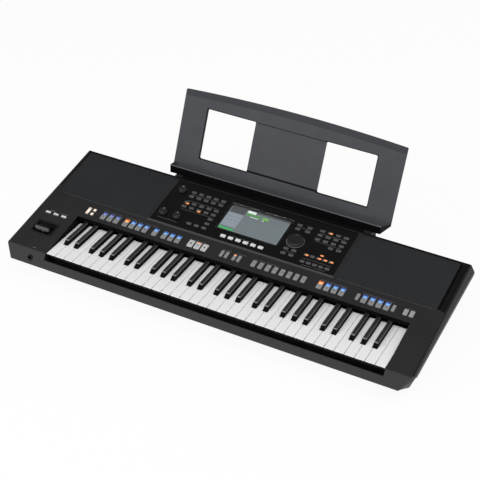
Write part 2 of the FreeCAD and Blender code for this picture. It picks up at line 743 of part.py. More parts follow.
def upper_case():
    shell = upper_shell()
    added = []
    # Ledge under the centre panel
    edge = PANEL_HALF + WALL
    ledge = box(-edge, edge, PANEL_FRONT - WALL, PANEL_BACK + WALL, PANEL_UNDER - LEDGE_THICK, -WALL / 2)
    inner = PANEL_HALF - PANEL_LEDGE
    opening = box(-inner, inner, PANEL_FRONT + PANEL_LEDGE, PANEL_BACK - PANEL_LEDGE, -FAR, FAR)
    added.append(on_deck(ledge.cut(opening)))
    # Ridge along the panel's front edge, its slope towards the player
    foot = PANEL_FRONT - RIDGE_WIDTH
    ridge = [(foot, -WALL / 2), (PANEL_FRONT, -WALL / 2), (PANEL_FRONT, RIDGE_HEIGHT), (foot, 0)]
    face = rounded_face(ridge, [0] * 4, lambda a, b: V(-edge, a, b))
    added.append(on_deck(face.extrude(V(2 * edge, 0, 0))))
    # Bosses that carry the strip's switch board
    for x in strip_boss_places():
        added.append(on_deck(cylinder(BOSS_RADIUS, V(x, STRIP_ROW, STRIP_BOARD_TOP), V(x, STRIP_ROW, -WALL / 2))))
    # Bosses for the case screws, down to the tub's floor
    for x, setback in screw_places():
        foot = V(x, NOSE_Y + setback, FLOOR_TOP)
        added.append(cylinder(SCREW_BOSS_RADIUS, foot, V(x, foot.y, deck_height(setback) - WALL * 0.8)))
    # Sleeves for the music rest's tabs
    for x in tab_places():
        across = TAB_WIDTH / 2 + TAB_GAP + WALL
        along = TAB_THICK / 2 + TAB_GAP + WALL
        middle = NOSE_Y + TAB_SETBACK
        low = BLOCK_HEIGHT - TAB_DEPTH - TAB_GAP - WALL
        added.append(box(x - across, x + across, middle - along, middle + along, low, BLOCK_HEIGHT - WALL / 2))
    case = fuse([shell] + added)
    holes = []
    seat = box(-PANEL_HALF, PANEL_HALF, PANEL_FRONT, PANEL_BACK, PANEL_UNDER, FAR)
    holes.append(on_deck(seat))
    for ends in grille_ends():
        low = -GRILLE_SINK - GRILLE_THICK
        back = GRILLE_FRONT + GRILLE_LENGTH
        groove = GRILLE_GROOVE if ends[0] > 0 else 0
        pocket = rounded_slab(ends[0], ends[1] + groove, GRILLE_FRONT, back, low, FAR, GRILLE_CORNER)
        holes.append(on_deck(pocket))
    for side in (-1, 1):
        for x, radius, flange in ((WOOFER_X, WOOFER_RADIUS, WOOFER_FLANGE), (TWEETER_X, TWEETER_RADIUS, TWEETER_FLANGE)):
            mouth = radius - flange + SOUND_RIM
            centre = V(side * x, WOOFER_RUN, -2 * WALL)
            holes.append(on_deck(cylinder(mouth, centre, centre + V(0, 0, 4 * WALL))))
    holes += button_holes(flat(strip_runs), -2 * WALL, WALL)
    holes += button_holes(wing_row, -2 * WALL, WALL)
    across = JOY_WIDTH / 2
    along = JOY_LENGTH / 2
    holes.append(on_deck(box(JOY_X - across, JOY_X + across, JOY_RUN - along, JOY_RUN + along, -2 * WALL, WALL)))
    for x in tab_places():
        across = TAB_WIDTH / 2 + TAB_GAP
        along = TAB_THICK / 2 + TAB_GAP
        middle = NOSE_Y + TAB_SETBACK
        low = BLOCK_HEIGHT - TAB_DEPTH - TAB_GAP
        holes.append(box(x - across, x + across, middle - along, middle + along, low, BLOCK_HEIGHT + WALL))
    for x, setback in screw_places():
        foot = V(x, NOSE_Y + setback, FLOOR_TOP)
        holes.append(cylinder(SCREW_RADIUS + SCREW_GAP, foot, foot + V(0, 0, SCREW_LENGTH)))
    mouth, out = phones_frame()
    holes.append(cylinder(JACK_COLLAR_RADIUS + JACK_HOLE_GAP, mouth - out * 2 * WALL, mouth + out * WALL))
    return case.cut(holes)


# Lower case


def on_parting(shape):
    """Carries a shape from x, run along the parting plane and height over it to its place."""
    placed = shape.copy()
    placed.rotate(V(0, 0, 0), V(1, 0, 0), math.degrees(PART_ANGLE))
    placed.translate(V(0, NOSE_Y, NOSE_HEIGHT))
    return placed


def taper_trim(half, rise):
    """A long block whose sides lean in below the parting plane; it stands upright above it."""
    drop = RIM_HEIGHT
    lean = drop * math.tan(math.radians(SIDE_TAPER))
    points = [(-half, rise), (lean - half, -drop), (half - lean, -drop), (half, rise)]
    if rise:
        points = [(-half, rise), (-half, 0), (lean - half, -drop), (half - lean, -drop), (half, 0), (half, rise)]
    face = rounded_face(points, [0] * len(points), lambda a, b: V(a, -FAR, b))
    return on_parting(face.extrude(V(0, 2 * FAR, 0)))


def tub_profile(rise):
    front = (SIDE_STEP, part_height(SIDE_STEP))
    back = (CASE_DEPTH - SIDE_STEP, part_height(CASE_DEPTH - SIDE_STEP))
    points = [front, (BOTTOM_SETBACK, FOOT_HEIGHT), (REAR_WALL_SETBACK, FOOT_HEIGHT)]
    points += [(REAR_WALL_SETBACK, REAR_WALL_TOP), back]
    if rise:
        points += [(back[0], back[1] + rise), (front[0], front[1] + rise)]
    return points


def frame_support_places():
    """Where the tub's posts carry the key chassis."""
    step = (KEYS_WIDTH - 2 * SUPPORT_SIZE) / (SUPPORT_COUNT - 1)
    places = []
    for setback in (SUPPORT_FRONT, KEYS_SETBACK + PIVOT_SETBACK - SUPPORT_SIZE):
        for i in range(SUPPORT_COUNT):
            places.append((KEYS_X + SUPPORT_SIZE + i * step, setback))
    return places


def board_post_places(centre, width):
    half = width / 2 - BOARD_POST_SIZE
    far = BOARD_SETBACK + MAIN_BOARD_LENGTH - BOARD_POST_SIZE
    near = BOARD_SETBACK + BOARD_POST_SIZE
    return [(centre + side * half, setback) for side in (-1, 1) for setback in (near, far)]


def lower_case():
    half = HALF - SIDE_STEP
    points = tub_profile(0)
    face = rounded_face(points, [0] * len(points), lambda a, b: V(-half, NOSE_Y + a, b))
    outer = face.extrude(V(2 * half, 0, 0)).common(taper_trim(half, 0)).cut(end_facets(SIDE_STEP))
    points = tub_profile(RIM_HEIGHT)
    face = rounded_face(points, [0] * len(points), lambda a, b: V(-half, NOSE_Y + a, b)).makeOffset2D(-WALL)
    room = face.extrude(V(2 * half, 0, 0)).common(taper_trim(half - WALL, RIM_HEIGHT))
    room = room.cut(end_facets(SIDE_STEP + WALL))
    tub = outer.cut(room)
    posts = []
    size = SUPPORT_SIZE / 2
    for x, setback in frame_support_places():
        y = NOSE_Y + setback
        top = FRAME_TOP - FRAME_THICK
        posts.append(box(x - size, x + size, y - size, y + size, FLOOR_TOP - WALL / 2, top))
    size = BOARD_POST_SIZE / 2
    for centre, width in ((MAIN_BOARD_X, MAIN_BOARD_WIDTH), (AMP_BOARD_X, AMP_BOARD_WIDTH)):
        for x, setback in board_post_places(centre, width):
            y = NOSE_Y + setback
            top = FLOOR_TOP + BOARD_POST
            posts.append(box(x - size, x + size, y - size, y + size, FLOOR_TOP - WALL / 2, top))
    tub = fuse([tub] + posts)
    wall_y = NOSE_Y + REAR_WALL_SETBACK
    inner = PLATE_HALF - PLATE_RIM
    top = PLATE_BOTTOM + PLATE_HEIGHT - PLATE_RIM
    holes = [box(-inner, inner, wall_y - 2 * WALL, wall_y + WALL, PLATE_BOTTOM + PLATE_RIM, top)]
    for x, setback in screw_places():
        foot = V(x, NOSE_Y + setback, FOOT_HEIGHT - WALL)
        holes.append(cylinder(SCREW_RADIUS + SCREW_GAP, foot, foot + V(0, 0, 3 * WALL)))
    return tub.cut(holes)


def rubber_feet():
    feet = []
    for x in (-FOOT_X, 0, FOOT_X):
        for setback in (FOOT_FRONT_SETBACK, FOOT_REAR_SETBACK):
            foot = Part.makeCone(FOOT_RADIUS - FOOT_TAPER, FOOT_RADIUS, FOOT_HEIGHT)
            foot.translate(V(x, NOSE_Y + setback, 0))
            feet.append(foot)
    return feet


def case_screws():
    screws = []
    for x, setback in screw_places():
        seat = V(x, NOSE_Y + setback, FOOT_HEIGHT)
        head = cylinder(SCREW_HEAD_RADIUS, seat - V(0, 0, SCREW_HEAD), seat)
        shank = cylinder(SCREW_RADIUS, seat, seat + V(0, 0, SCREW_LENGTH))
        screws.append(fuse([head, shank]))
    return screws


# Centre panel, screen and the boards under the deck


def knob_places():
    """x, run and radius of each turning control on the centre panel."""
    live = [(LIVE_X + i * LIVE_PITCH, LIVE_RUN, KNOB_RADIUS) for i in range(2)]
    return [(VOLUME_X, VOLUME_RUN, KNOB_RADIUS)] + live + [(DIAL_X, DIAL_RUN, DIAL_RADIUS)]


def glass_outline(gap):
    """Ends of the screen glass in x and run, widened by a gap."""
    half = SCREEN_WIDTH / 2 + GLASS_BORDER + gap
    return -half, half, SCREEN_FRONT - GLASS_BORDER - gap, SCREEN_FRONT + SCREEN_LENGTH + GLASS_BORDER + gap


def module_outline(gap):
    half = SCREEN_WIDTH / 2 + MODULE_BORDER + gap
    return -half, half, SCREEN_FRONT - MODULE_BORDER - gap, SCREEN_FRONT + SCREEN_LENGTH + MODULE_BORDER + gap


def panel_boss_places():
    """Ends of the panel's switch board, inside the ledge and clear of the buttons."""
    x = PANEL_HALF - PANEL_LEDGE - 2 * BOSS_RADIUS
    return [(side * x, run) for side in (-1, 1) for run in (PANEL_BOSS_FRONT, PANEL_BOSS_BACK)]


def control_panel():
    half = PANEL_HALF - PANEL_GAP
    plate = box(-half, half, PANEL_FRONT + PANEL_GAP, PANEL_BACK - PANEL_GAP, PANEL_UNDER, -PANEL_SINK)
    bosses = []
    for x, run in panel_boss_places():
        bosses.append(cylinder(BOSS_RADIUS, V(x, run, PANEL_BOARD_TOP), V(x, run, PANEL_UNDER + WALL / 2)))
    plate = fuse([plate] + bosses)
    holes = [box(*glass_outline(GRILLE_GAP), -PANEL_SINK - GLASS_THICK, FAR)]
    half = SCREEN_WIDTH / 2
    holes.append(box(-half, half, SCREEN_FRONT, SCREEN_FRONT + SCREEN_LENGTH, -FAR, FAR))
    for x, run, radius in knob_places():
        holes.append(cylinder(SHAFT_RADIUS + BUTTON_GAP, V(x, run, PANEL_UNDER - 1), V(x, run, WALL)))
    plate = on_deck(plate.cut(holes))
    return plate.cut(button_holes(left_panel + right_panel + screen_row, 2 * PANEL_UNDER, WALL))


def display_glass():
    return on_deck(box(*glass_outline(0), -PANEL_SINK - GLASS_THICK, -PANEL_SINK))


def display_module():
    return on_deck(box(*module_outline(0), PANEL_UNDER - MODULE_THICK, PANEL_UNDER))


def strip_switch_board():
    low = STRIP_ROW - STRIP_BOARD_WIDTH / 2
    high = STRIP_ROW + STRIP_BOARD_WIDTH / 2
    places = flat(strip_runs)
    left = min(x for x, run, width, length in places) - SUPPORT_SIZE
    right = max(x for x, run, width, length in places) + SUPPORT_SIZE
    board = box(left, right, low, high, STRIP_BOARD_TOP - BOARD_THICK, STRIP_BOARD_TOP)
    return on_deck(fuse([board] + switches(places, STRIP_BOARD_TOP)))


def panel_switch_board():
    x = PANEL_HALF - PANEL_LEDGE - BOSS_RADIUS / 2
    front = PANEL_FRONT + PANEL_LEDGE + BOSS_RADIUS / 2
    back = PANEL_BACK - PANEL_LEDGE - BOSS_RADIUS / 2
    board = box(-x, x, front, back, PANEL_BOARD_TOP - BOARD_THICK, PANEL_BOARD_TOP)
    room = box(*module_outline(1), -FAR, FAR)
    return on_deck(fuse([board.cut(room)] + switches(left_panel + right_panel + screen_row, PANEL_BOARD_TOP)))


def wing_switch_board():
    """A small board under the wing's buttons, hung from the deck by two bosses."""
    low = STRIP_BOARD_TOP - BOARD_THICK
    reach = WING_BUTTON_LENGTH + BOSS_RADIUS
    ends = (WING_X - WING_PITCH / 2, WING_X + 2.5 * WING_PITCH)
    board = box(ends[0], ends[1], WING_RUN - reach, WING_RUN + 2 * reach, low, STRIP_BOARD_TOP)
    made = [board] + switches(wing_row, STRIP_BOARD_TOP)
    for i in range(2):
        x = WING_X + (i + 0.5) * WING_PITCH
        run = WING_RUN + WING_BUTTON_LENGTH + 2 * BOSS_RADIUS
        made.append(cylinder(BOSS_RADIUS, V(x, run, STRIP_BOARD_TOP), V(x, run, -WALL)))
    return on_deck(fuse(made))


def rotary_controls():
    pots = []
    for x, run, radius in knob_places():
        size = POT_SIZE / 2
        top = PANEL_BOARD_TOP + POT_HEIGHT
        body = box(x - size, x + size, run - size, run + size, PANEL_BOARD_TOP, top)
        bore = cylinder(SHAFT_RADIUS + SHAFT_CLEARANCE, V(x, run, PANEL_BOARD_TOP + 1), V(x, run, top + 1))
        pots.append(on_deck(body.cut(bore)))
    return pots


def knob(x, run, radius, height):
    """A tapered cap on its shaft, which runs down into the control's bore."""
    low = KNOB_LIFT - PANEL_SINK
    top = low + height
    cap = Part.makeCone(radius, radius - KNOB_TAPER, height)
    cap.translate(V(0, 0, low))
    crown = [e for e in cap.Edges if e.BoundBox.ZMin > top - KNOB_TAPER / 2]
    cap = cap.makeFillet(KNOB_TAPER, crown)
    shaft = cylinder(SHAFT_RADIUS, V(0, 0, PANEL_BOARD_TOP + 1 + SWITCH_GAP), V(0, 0, low + height / 2))
    made = fuse([cap, shaft])
    made.translate(V(x, run, 0))
    return made


def pointer_knob(x, run):
    """A knob with a pointer groove across its crown, on the side away from the player."""
    top = KNOB_LIFT - PANEL_SINK + KNOB_HEIGHT
    groove = box(x - KNOB_TAPER / 2, x + KNOB_TAPER / 2, run + KNOB_RADIUS / 3, run + KNOB_RADIUS, top - KNOB_TAPER, top + 1)
    return on_deck(knob(x, run, KNOB_RADIUS, KNOB_HEIGHT).cut(groove))


def data_dial():
    """The wide dial with a finger dish near its edge."""
    top = KNOB_LIFT - PANEL_SINK + DIAL_HEIGHT
    ball = (DIAL_DISH_RADIUS ** 2 + DIAL_DISH_DEPTH ** 2) / (2 * DIAL_DISH_DEPTH)
    dish = Part.makeSphere(ball, V(DIAL_X, DIAL_RUN + DIAL_DISH_SETOFF, top + ball - DIAL_DISH_DEPTH))
    return on_deck(knob(DIAL_X, DIAL_RUN, DIAL_RADIUS, DIAL_HEIGHT).cut(dish))


# Speakers


def grille(ends):
    low = -GRILLE_SINK - GRILLE_THICK
    back = GRILLE_FRONT + GRILLE_LENGTH - GRILLE_GAP
    plate = rounded_slab(
        ends[0] + GRILLE_GAP, ends[1] - GRILLE_GAP, GRILLE_FRONT + GRILLE_GAP, back, low, -GRILLE_SINK, GRILLE_CORNER
    )
    return on_deck(plate)


def woofer_frame(side):
    """Pressed basket with its flange under the deck and the magnet below."""
    mouth = WOOFER_RADIUS - WOOFER_FLANGE
    flange_low = -WALL - FLANGE_DEPTH
    throat = MAGNET_RADIUS - WOOFER_FLANGE
    magnet_top = MAGNET_DEPTH - WOOFER_DEPTH - WALL
    low = -WALL - WOOFER_DEPTH
    profile = [(mouth, -WALL), (WOOFER_RADIUS, -WALL), (WOOFER_RADIUS, flange_low), (mouth + FLANGE_DEPTH, flange_low)]
    profile += [(throat + FLANGE_DEPTH, magnet_top), (MAGNET_RADIUS, magnet_top), (MAGNET_RADIUS, low), (0, low)]
    profile += [(0, magnet_top), (throat, magnet_top), (mouth, flange_low)]
    return on_deck(turned(profile, side * WOOFER_X, WOOFER_RUN))


def woofer_cone(side):
    """Paper cone, its rim glued inside the basket's flange."""
    rim = WOOFER_RADIUS - WOOFER_FLANGE - GRILLE_GAP
    throat = MAGNET_RADIUS - WOOFER_FLANGE - FLANGE_DEPTH
    top = -WALL - 1
    low = MAGNET_DEPTH - WOOFER_DEPTH
    skin = FLANGE_DEPTH / 2
    profile = [(rim, top), (rim, top - skin), (rim - FLANGE_DEPTH, top - skin), (throat / 2, low)]
    profile += [(0, low), (0, low + skin), (throat / 2 - skin, low + skin), (rim - 2 * FLANGE_DEPTH, top)]
    return on_deck(turned(profile, side * WOOFER_X, WOOFER_RUN))


def tweeter(side):
    mouth = TWEETER_RADIUS - TWEETER_FLANGE
    flange_low = -WALL - FLANGE_DEPTH
    low = -WALL - TWEETER_DEPTH
    profile = [(mouth, -WALL), (TWEETER_RADIUS, -WALL), (TWEETER_RADIUS, flange_low), (mouth, flange_low)]
    profile += [(mouth, low), (0, low), (0, -WALL - 1), (mouth / 2, -WALL - 1.5), (mouth - 1, flange_low)]
    return on_deck(turned(profile, side * TWEETER_X, WOOFER_RUN))


# Keys

BLACK_SLOTS = (1, 3, 6, 8, 10)
NOTES = ("c", "c_sharp", "d", "d_sharp", "e", "f", "f_sharp", "g", "g_sharp", "a", "a_sharp", "b")


def slot_middle(slot):
    return (slot + 0.5) * SLOT_PITCH


def key_arm(slot):
    """The arm behind a key's visible part, with the hole for the pivot rod."""
    middle = KEYS_X + slot_middle(slot)
    top = KEY_TOP - ARM_DROP
    back = key_y(PIVOT_SETBACK + ARM_OVERHANG)
    half = (SLOT_PITCH - ARM_GAP) / 2
    arm = box(middle - half, middle + half, key_y(KEY_VISIBLE - KEY_SHELL), back, top - ARM_HEIGHT, top)
    end = PIVOT_HEIGHT
    axis = cylinder(PIVOT_RADIUS + PIVOT_CLEARANCE, V(-FAR, key_y(PIVOT_SETBACK), end), V(FAR, key_y(PIVOT_SETBACK), end))
    return arm, axis


def white_key(slot, number, plain):
    """A hollow white key; plain keys have no notch for a black one."""
    left = number * WHITE_PITCH + KEY_GAP / 2
    right = (number + 1) * WHITE_PITCH - KEY_GAP / 2
    tail_left = left
    tail_right = right
    half = BLACK_WIDTH / 2 + BLACK_GAP
    if slot - 1 in BLACK_SLOTS and not plain:
        tail_left = max(left, slot_middle(slot - 1) + half)
    if slot + 1 in BLACK_SLOTS and not plain:
        tail_right = min(right, slot_middle(slot + 1) - half)
    notch = BLACK_SETBACK - BLACK_GAP
    low = KEY_TOP - KEY_DEPTH
    lip = box(KEYS_X + left, KEYS_X + right, key_y(0), key_y(WHITE_LIP), KEY_TOP - WHITE_LIP_THICK, KEY_TOP)
    head = box(KEYS_X + left, KEYS_X + right, key_y(WHITE_LIP), key_y(notch), low, KEY_TOP)
    tail = box(KEYS_X + tail_left, KEYS_X + tail_right, key_y(notch), key_y(KEY_VISIBLE), low, KEY_TOP)
    body = fuse([lip, head, tail])
    nose = [e for e in body.Edges if abs(e.BoundBox.ZMin - KEY_TOP) < 0.01 and e.BoundBox.YMax < key_y(0) + 0.01]
    body = body.makeFillet(KEY_SHELL, nose)
    rim = [e for e in body.Edges if e.BoundBox.ZMin > KEY_TOP - 0.01 and e.BoundBox.YLength > 1]
    body = body.makeFillet(KEY_GAP / 2, rim)
    shell = KEY_SHELL
    ceiling = KEY_TOP - shell - KEY_GAP
    room_head = box(
        KEYS_X + left + shell, KEYS_X + right - shell, key_y(WHITE_LIP + shell), key_y(notch - shell), low - 1, ceiling
    )
    room_tail = box(
        KEYS_X + tail_left + shell, KEYS_X + tail_right - shell, key_y(notch - shell), key_y(KEY_VISIBLE - shell), low - 1, ceiling
    )
    arm, axis = key_arm(slot)
    return fuse([body.cut([room_head, room_tail]), arm]).cut(axis)


def black_key(slot):
    """A black key with a sloping front and sides that lean in towards the top."""
    middle = KEYS_X + slot_middle(slot)
    top = KEY_TOP + BLACK_RISE
    low = KEY_TOP - BLACK_DEPTH
    front = KEYS_SETBACK + BLACK_SETBACK
    back = KEYS_SETBACK + KEY_VISIBLE
    points = [(front, low), (front, KEY_TOP + KEY_GAP), (front + BLACK_SLOPE, top), (back, top), (back, low)]
    half = BLACK_WIDTH / 2
    body = side_prism(points, [0, 2, 3, 0, 0], middle - half, middle + half)
    top_half = BLACK_TOP_WIDTH / 2
    section = [(-half, low), (half, low), (half, KEY_TOP), (top_half, top), (-top_half, top), (-half, KEY_TOP)]
    face = rounded_face(section, [0, 0, 0, 1, 1, 0], lambda a, b: V(middle + a, key_y(0), b))
    body = body.common(face.extrude(V(0, FAR, 0)))
    arm, axis = key_arm(slot)
    return fuse([body, arm]).cut(axis)


def key_group(slot):
    """All keys of one note, an octave apart."""
    if slot in BLACK_SLOTS:
        pattern = black_key(slot)
    else:
        pattern = white_key(slot, sum(1 for s in range(slot) if s not in BLACK_SLOTS), False)
    group = []
    for octave in range(OCTAVES):
        key = pattern.copy()
        key.translate(V(octave * OCTAVE_WIDTH, 0, 0))
        group.append(key)
    if slot == 0:
        last = white_key(0, 0, True)
        last.translate(V(OCTAVES * OCTAVE_WIDTH, 0, 0))
        group.append(last)
    return group


# Key chassis


def key_frame():
    left = KEYS_X
    right = KEYS_X + KEYS_WIDTH
    front = key_y(FRAME_FRONT)
    back = key_y(PIVOT_SETBACK + FRAME_BACK)
    plate = box(left, right, front, back, FRAME_TOP - FRAME_THICK, FRAME_TOP)
    made = [plate]
    pivot = key_y(PIVOT_SETBACK)
    for half_octave in range(2 * OCTAVES + 1):
        x = KEYS_X + half_octave * OCTAVE_WIDTH / 2
        x = max(x, KEYS_X + POST_THICK / 2)
        top = PIVOT_HEIGHT + ARM_HEIGHT / 2
        thick = POST_THICK / 2
        made.append(box(x - thick, x + thick, pivot - ARM_OVERHANG, pivot + ARM_OVERHANG, FRAME_TOP - 1, top))
    guide = GUIDE_WIDTH / 2
    deepest = KEY_TOP - KEY_SHELL - KEY_GAP - (PIVOT_SETBACK - GUIDE_SETBACK + GUIDE_DEPTH) * KEY_DIP
    for number in range(7 * OCTAVES + 1):
        x = KEYS_X + (number + 0.5) * WHITE_PITCH
        y = key_y(GUIDE_SETBACK)
        made.append(box(x - guide, x + guide, y - GUIDE_DEPTH / 2, y + GUIDE_DEPTH / 2, FRAME_TOP - 1, deepest - DIP_CLEARANCE))
    frame = fuse(made)
    rod = cylinder(PIVOT_RADIUS + PIVOT_CLEARANCE, V(-FAR, pivot, PIVOT_HEIGHT), V(FAR, pivot, PIVOT_HEIGHT))
    return frame.cut(rod)


def key_pivot_rod():
    y = key_y(PIVOT_SETBACK)
    return cylinder(PIVOT_RADIUS, V(KEYS_X, y, PIVOT_HEIGHT), V(KEYS_X + KEYS_WIDTH, y, PIVOT_HEIGHT))


def pressed_height(setback, height):
    """Height of a point of a key at full dip."""
    return height - (PIVOT_SETBACK - setback) * KEY_DIP - DIP_CLEARANCE


def key_stop_felt():
    """Felt that stops the white keys at full dip."""
    top = pressed_height(FELT_SETBACK, KEY_TOP - KEY_DEPTH)
    back = FELT_SETBACK + FELT_WIDTH
    return box(KEYS_X + KEY_GAP, KEYS_X + KEYS_WIDTH - KEY_GAP, key_y(FELT_SETBACK), key_y(back), FRAME_TOP, top)


def key_contact_board():
    back = CONTACT_SETBACK + CONTACT_WIDTH
    top = FRAME_TOP + BOARD_THICK
    return box(KEYS_X + KEY_GAP, KEYS_X + KEYS_WIDTH - KEY_GAP, key_y(CONTACT_SETBACK), key_y(back), FRAME_TOP, top)


def contact_domes():
    """A rubber strip with one dome under each key, as tall as a pressed key leaves room for."""
    low = FRAME_TOP + BOARD_THICK
    middle = CONTACT_SETBACK + CONTACT_WIDTH / 2
    front = key_y(middle - DOME_RADIUS - DOME_STRIP)
    back = key_y(middle + DOME_RADIUS + DOME_STRIP)
    strip = box(KEYS_X + KEY_GAP, KEYS_X + KEYS_WIDTH - KEY_GAP, front, back, low, low + DOME_STRIP)
    made = [strip]
    top = pressed_height(middle - DOME_RADIUS, KEY_TOP - KEY_DEPTH)
    for slot in range(12 * OCTAVES + 1):
        dome = Part.makeCone(DOME_RADIUS, DOME_RADIUS / 2, top - low)
        dome.translate(V(KEYS_X + slot_middle(slot), key_y(middle), low))
        made.append(dome)
    return fuse(made)


def key_return_springs():
    """A comb of leaf springs on the chassis, one leaf under each key's arm."""
    base = SPRING_SETBACK
    tip = base - SPRING_RUN
    top = pressed_height(tip - SPRING_THICK, KEY_TOP - ARM_DROP - ARM_HEIGHT)
    low = FRAME_TOP + SPRING_THICK
    strip = box(KEYS_X, KEYS_X + KEYS_WIDTH, key_y(base - SPRING_WIDTH), key_y(base), FRAME_TOP, low)
    made = [strip]
    start = KEYS_SETBACK + base
    end = KEYS_SETBACK + tip
    leaf = [(start - SPRING_THICK, FRAME_TOP), (start, FRAME_TOP), (end, top), (end - SPRING_THICK, top)]
    for slot in range(12 * OCTAVES + 1):
        x = KEYS_X + slot_middle(slot)
        made.append(side_prism(leaf, [0] * 4, x - SPRING_WIDTH / 2, x + SPRING_WIDTH / 2))
    return fuse(made)


# Joystick


def joystick_bezel():
    """A tray let into the deck, with two ears below that carry the gimbal."""
    across = JOY_WIDTH / 2 - GRILLE_GAP
    along = JOY_LENGTH / 2 - GRILLE_GAP
    rim = JOY_FLANGE + GRILLE_GAP
    shell = JOY_SHELL
    flange = rounded_slab(-across - rim, across + rim, -along - rim, along + rim, 0, JOY_FLANGE_THICK, JOY_FLANGE)
    tray = box(-across, across, -along, along, -JOY_DEPTH, JOY_FLANGE_THICK)
    room = rounded_slab(shell - across, across - shell, shell - along, along - shell, shell - JOY_DEPTH, WALL, JOY_FLANGE)
    middle = LEVER_RUN - JOY_RUN
    slot_x = JOY_SLOT_WIDTH / 2
    slot_y = JOY_SLOT_LENGTH / 2
    slot = box(-slot_x, slot_x, middle - slot_y, middle + slot_y, -FAR, FAR)
    body = fuse([flange, tray]).cut([room, slot])
    ears = []
    near = RING_WIDTH / 2 + EAR_GAP
    half = EAR_WIDTH / 2
    for side in (-1, 1):
        ends = sorted((side * near, side * (near + EAR_THICK)))
        low = -JOY_PIVOT_DEPTH - half
        ears.append(box(ends[0], ends[1], middle - half, middle + half, low, shell / 2 - JOY_DEPTH))
    body = fuse([body] + ears)
    level = -JOY_PIVOT_DEPTH
    body = body.cut(cylinder(JOY_PIN_RADIUS + JOY_PIN_CLEARANCE, V(-FAR, middle, level), V(FAR, middle, level)))
    body.translate(V(JOY_X, JOY_RUN, 0))
    return on_deck(body)


def joystick_gimbal():
    """A ring that rocks to and fro on pins in the ears."""
    level = -JOY_PIVOT_DEPTH
    high = level + RING_HEIGHT / 2
    low = level - RING_HEIGHT / 2
    ring = box(-RING_WIDTH / 2, RING_WIDTH / 2, -RING_LENGTH / 2, RING_LENGTH / 2, low, high)
    inner_x = RING_WIDTH / 2 - RING_SIDE
    inner_y = RING_LENGTH / 2 - RING_END
    ring = ring.cut(box(-inner_x, inner_x, -inner_y, inner_y, -FAR, FAR))
    pins = []
    for side in (-1, 1):
        end = side * (RING_WIDTH / 2 + EAR_GAP + EAR_THICK)
        pins.append(cylinder(JOY_PIN_RADIUS, V(side * (RING_WIDTH - RING_SIDE) / 2, 0, level), V(end, 0, level)))
    ring = fuse([ring] + pins)
    ring = ring.cut(cylinder(JOY_PIN_RADIUS + JOY_PIN_CLEARANCE, V(0, -FAR, level), V(0, FAR, level)))
    ring.translate(V(JOY_X, LEVER_RUN, 0))
    return on_deck(ring)


def joystick_lever():
    """The stick with its wide finger bar, pivoting sideways in the ring."""
    level = -JOY_PIVOT_DEPTH
    hub = HUB_SIZE / 2
    made = [box(-hub, hub, -hub, hub, level - RING_HEIGHT / 2, level + RING_HEIGHT / 2)]
    made.append(cylinder(STICK_RADIUS, V(0, 0, level), V(0, 0, STICK_TOP + CAP_HEIGHT / 2)))
    reach = RING_LENGTH / 2
    made.append(cylinder(JOY_PIN_RADIUS, V(0, -reach, level), V(0, reach, level)))
    top = STICK_TOP + CAP_HEIGHT
    half = CAP_WIDTH / 2
    cap = rounded_slab(-half, half, -CAP_LENGTH / 2, CAP_LENGTH / 2, STICK_TOP, top, CAP_CORNER)
    crown = [e for e in cap.Edges if e.BoundBox.ZMin > top - 0.01]
    made.append(cap.makeFillet(CAP_CORNER / 2, crown))
    lever = fuse(made)
    lever.translate(V(JOY_X, LEVER_RUN, 0))
    return on_deck(lever)


# Jacks and ports


def jack(mouth, out, skin):
    """A quarter-inch socket: collar through a skin, body behind it, a blind bore; mouth is the skin's outer face."""
    side = V(1, 0, 0)
    up = out.cross(side)
    collar = cylinder(JACK_COLLAR_RADIUS, mouth - out * (skin + 1), mouth + out * JACK_COLLAR_PROUD)
    body = Part.makeBox(JACK_BODY, JACK_BODY, JACK_BODY_DEPTH)
    body.translate(V(-JACK_BODY / 2, -JACK_BODY / 2, -JACK_BODY_DEPTH))
    turn = FreeCAD.Placement(mouth - out * skin, FreeCAD.Rotation(side, up * -1, out, "ZXY"))
    body.Placement = turn.multiply(body.Placement)
    rim = mouth + out * JACK_COLLAR_PROUD
    bore = cylinder(JACK_BORE_RADIUS, rim - out * JACK_BORE_DEPTH, rim + out)
    return fuse([collar, body]).cut(bore)


def jack_places():
    return [JACK_X + i * JACK_PITCH for i in range(JACK_COUNT)]


def usb_places():
    return [USB_X + i * USB_PITCH for i in range(2)]


def rear_jack_plate():
    inner = NOSE_Y + REAR_WALL_SETBACK
    outer = inner + PLATE_THICK
    plate = box(-PLATE_HALF, PLATE_HALF, inner, outer, PLATE_BOTTOM, PLATE_BOTTOM + PLATE_HEIGHT)
    holes = []
    for x in jack_places():
        holes.append(cylinder(JACK_COLLAR_RADIUS + JACK_HOLE_GAP, V(x, inner - 1, JACK_HEIGHT), V(x, outer + 1, JACK_HEIGHT)))
    half = USB_WIDTH / 2 + USB_SHELL + JACK_HOLE_GAP
    tall = USB_HEIGHT / 2 + USB_SHELL + JACK_HOLE_GAP
    for x in usb_places():
        holes.append(box(x - half, x + half, inner - 1, outer + 1, JACK_HEIGHT - tall, JACK_HEIGHT + tall))
    half = INLET_SIZE / 2 + JACK_HOLE_GAP
    holes.append(box(INLET_X - half, INLET_X + half, inner - 1, outer + 1, JACK_HEIGHT - half, JACK_HEIGHT + half))
    holes.append(cylinder(POWER_RADIUS + POWER_GAP, V(POWER_X, inner - 1, JACK_HEIGHT), V(POWER_X, outer + 1, JACK_HEIGHT)))
    return plate.cut(holes)


def rear_jacks():
    outer = NOSE_Y + REAR_WALL_SETBACK + PLATE_THICK
    return [jack(V(x, outer, JACK_HEIGHT), V(0, 1, 0), PLATE_THICK) for x in jack_places()]


def phones_jack():
    mouth, out = phones_frame()
    return jack(mouth, out, WALL)


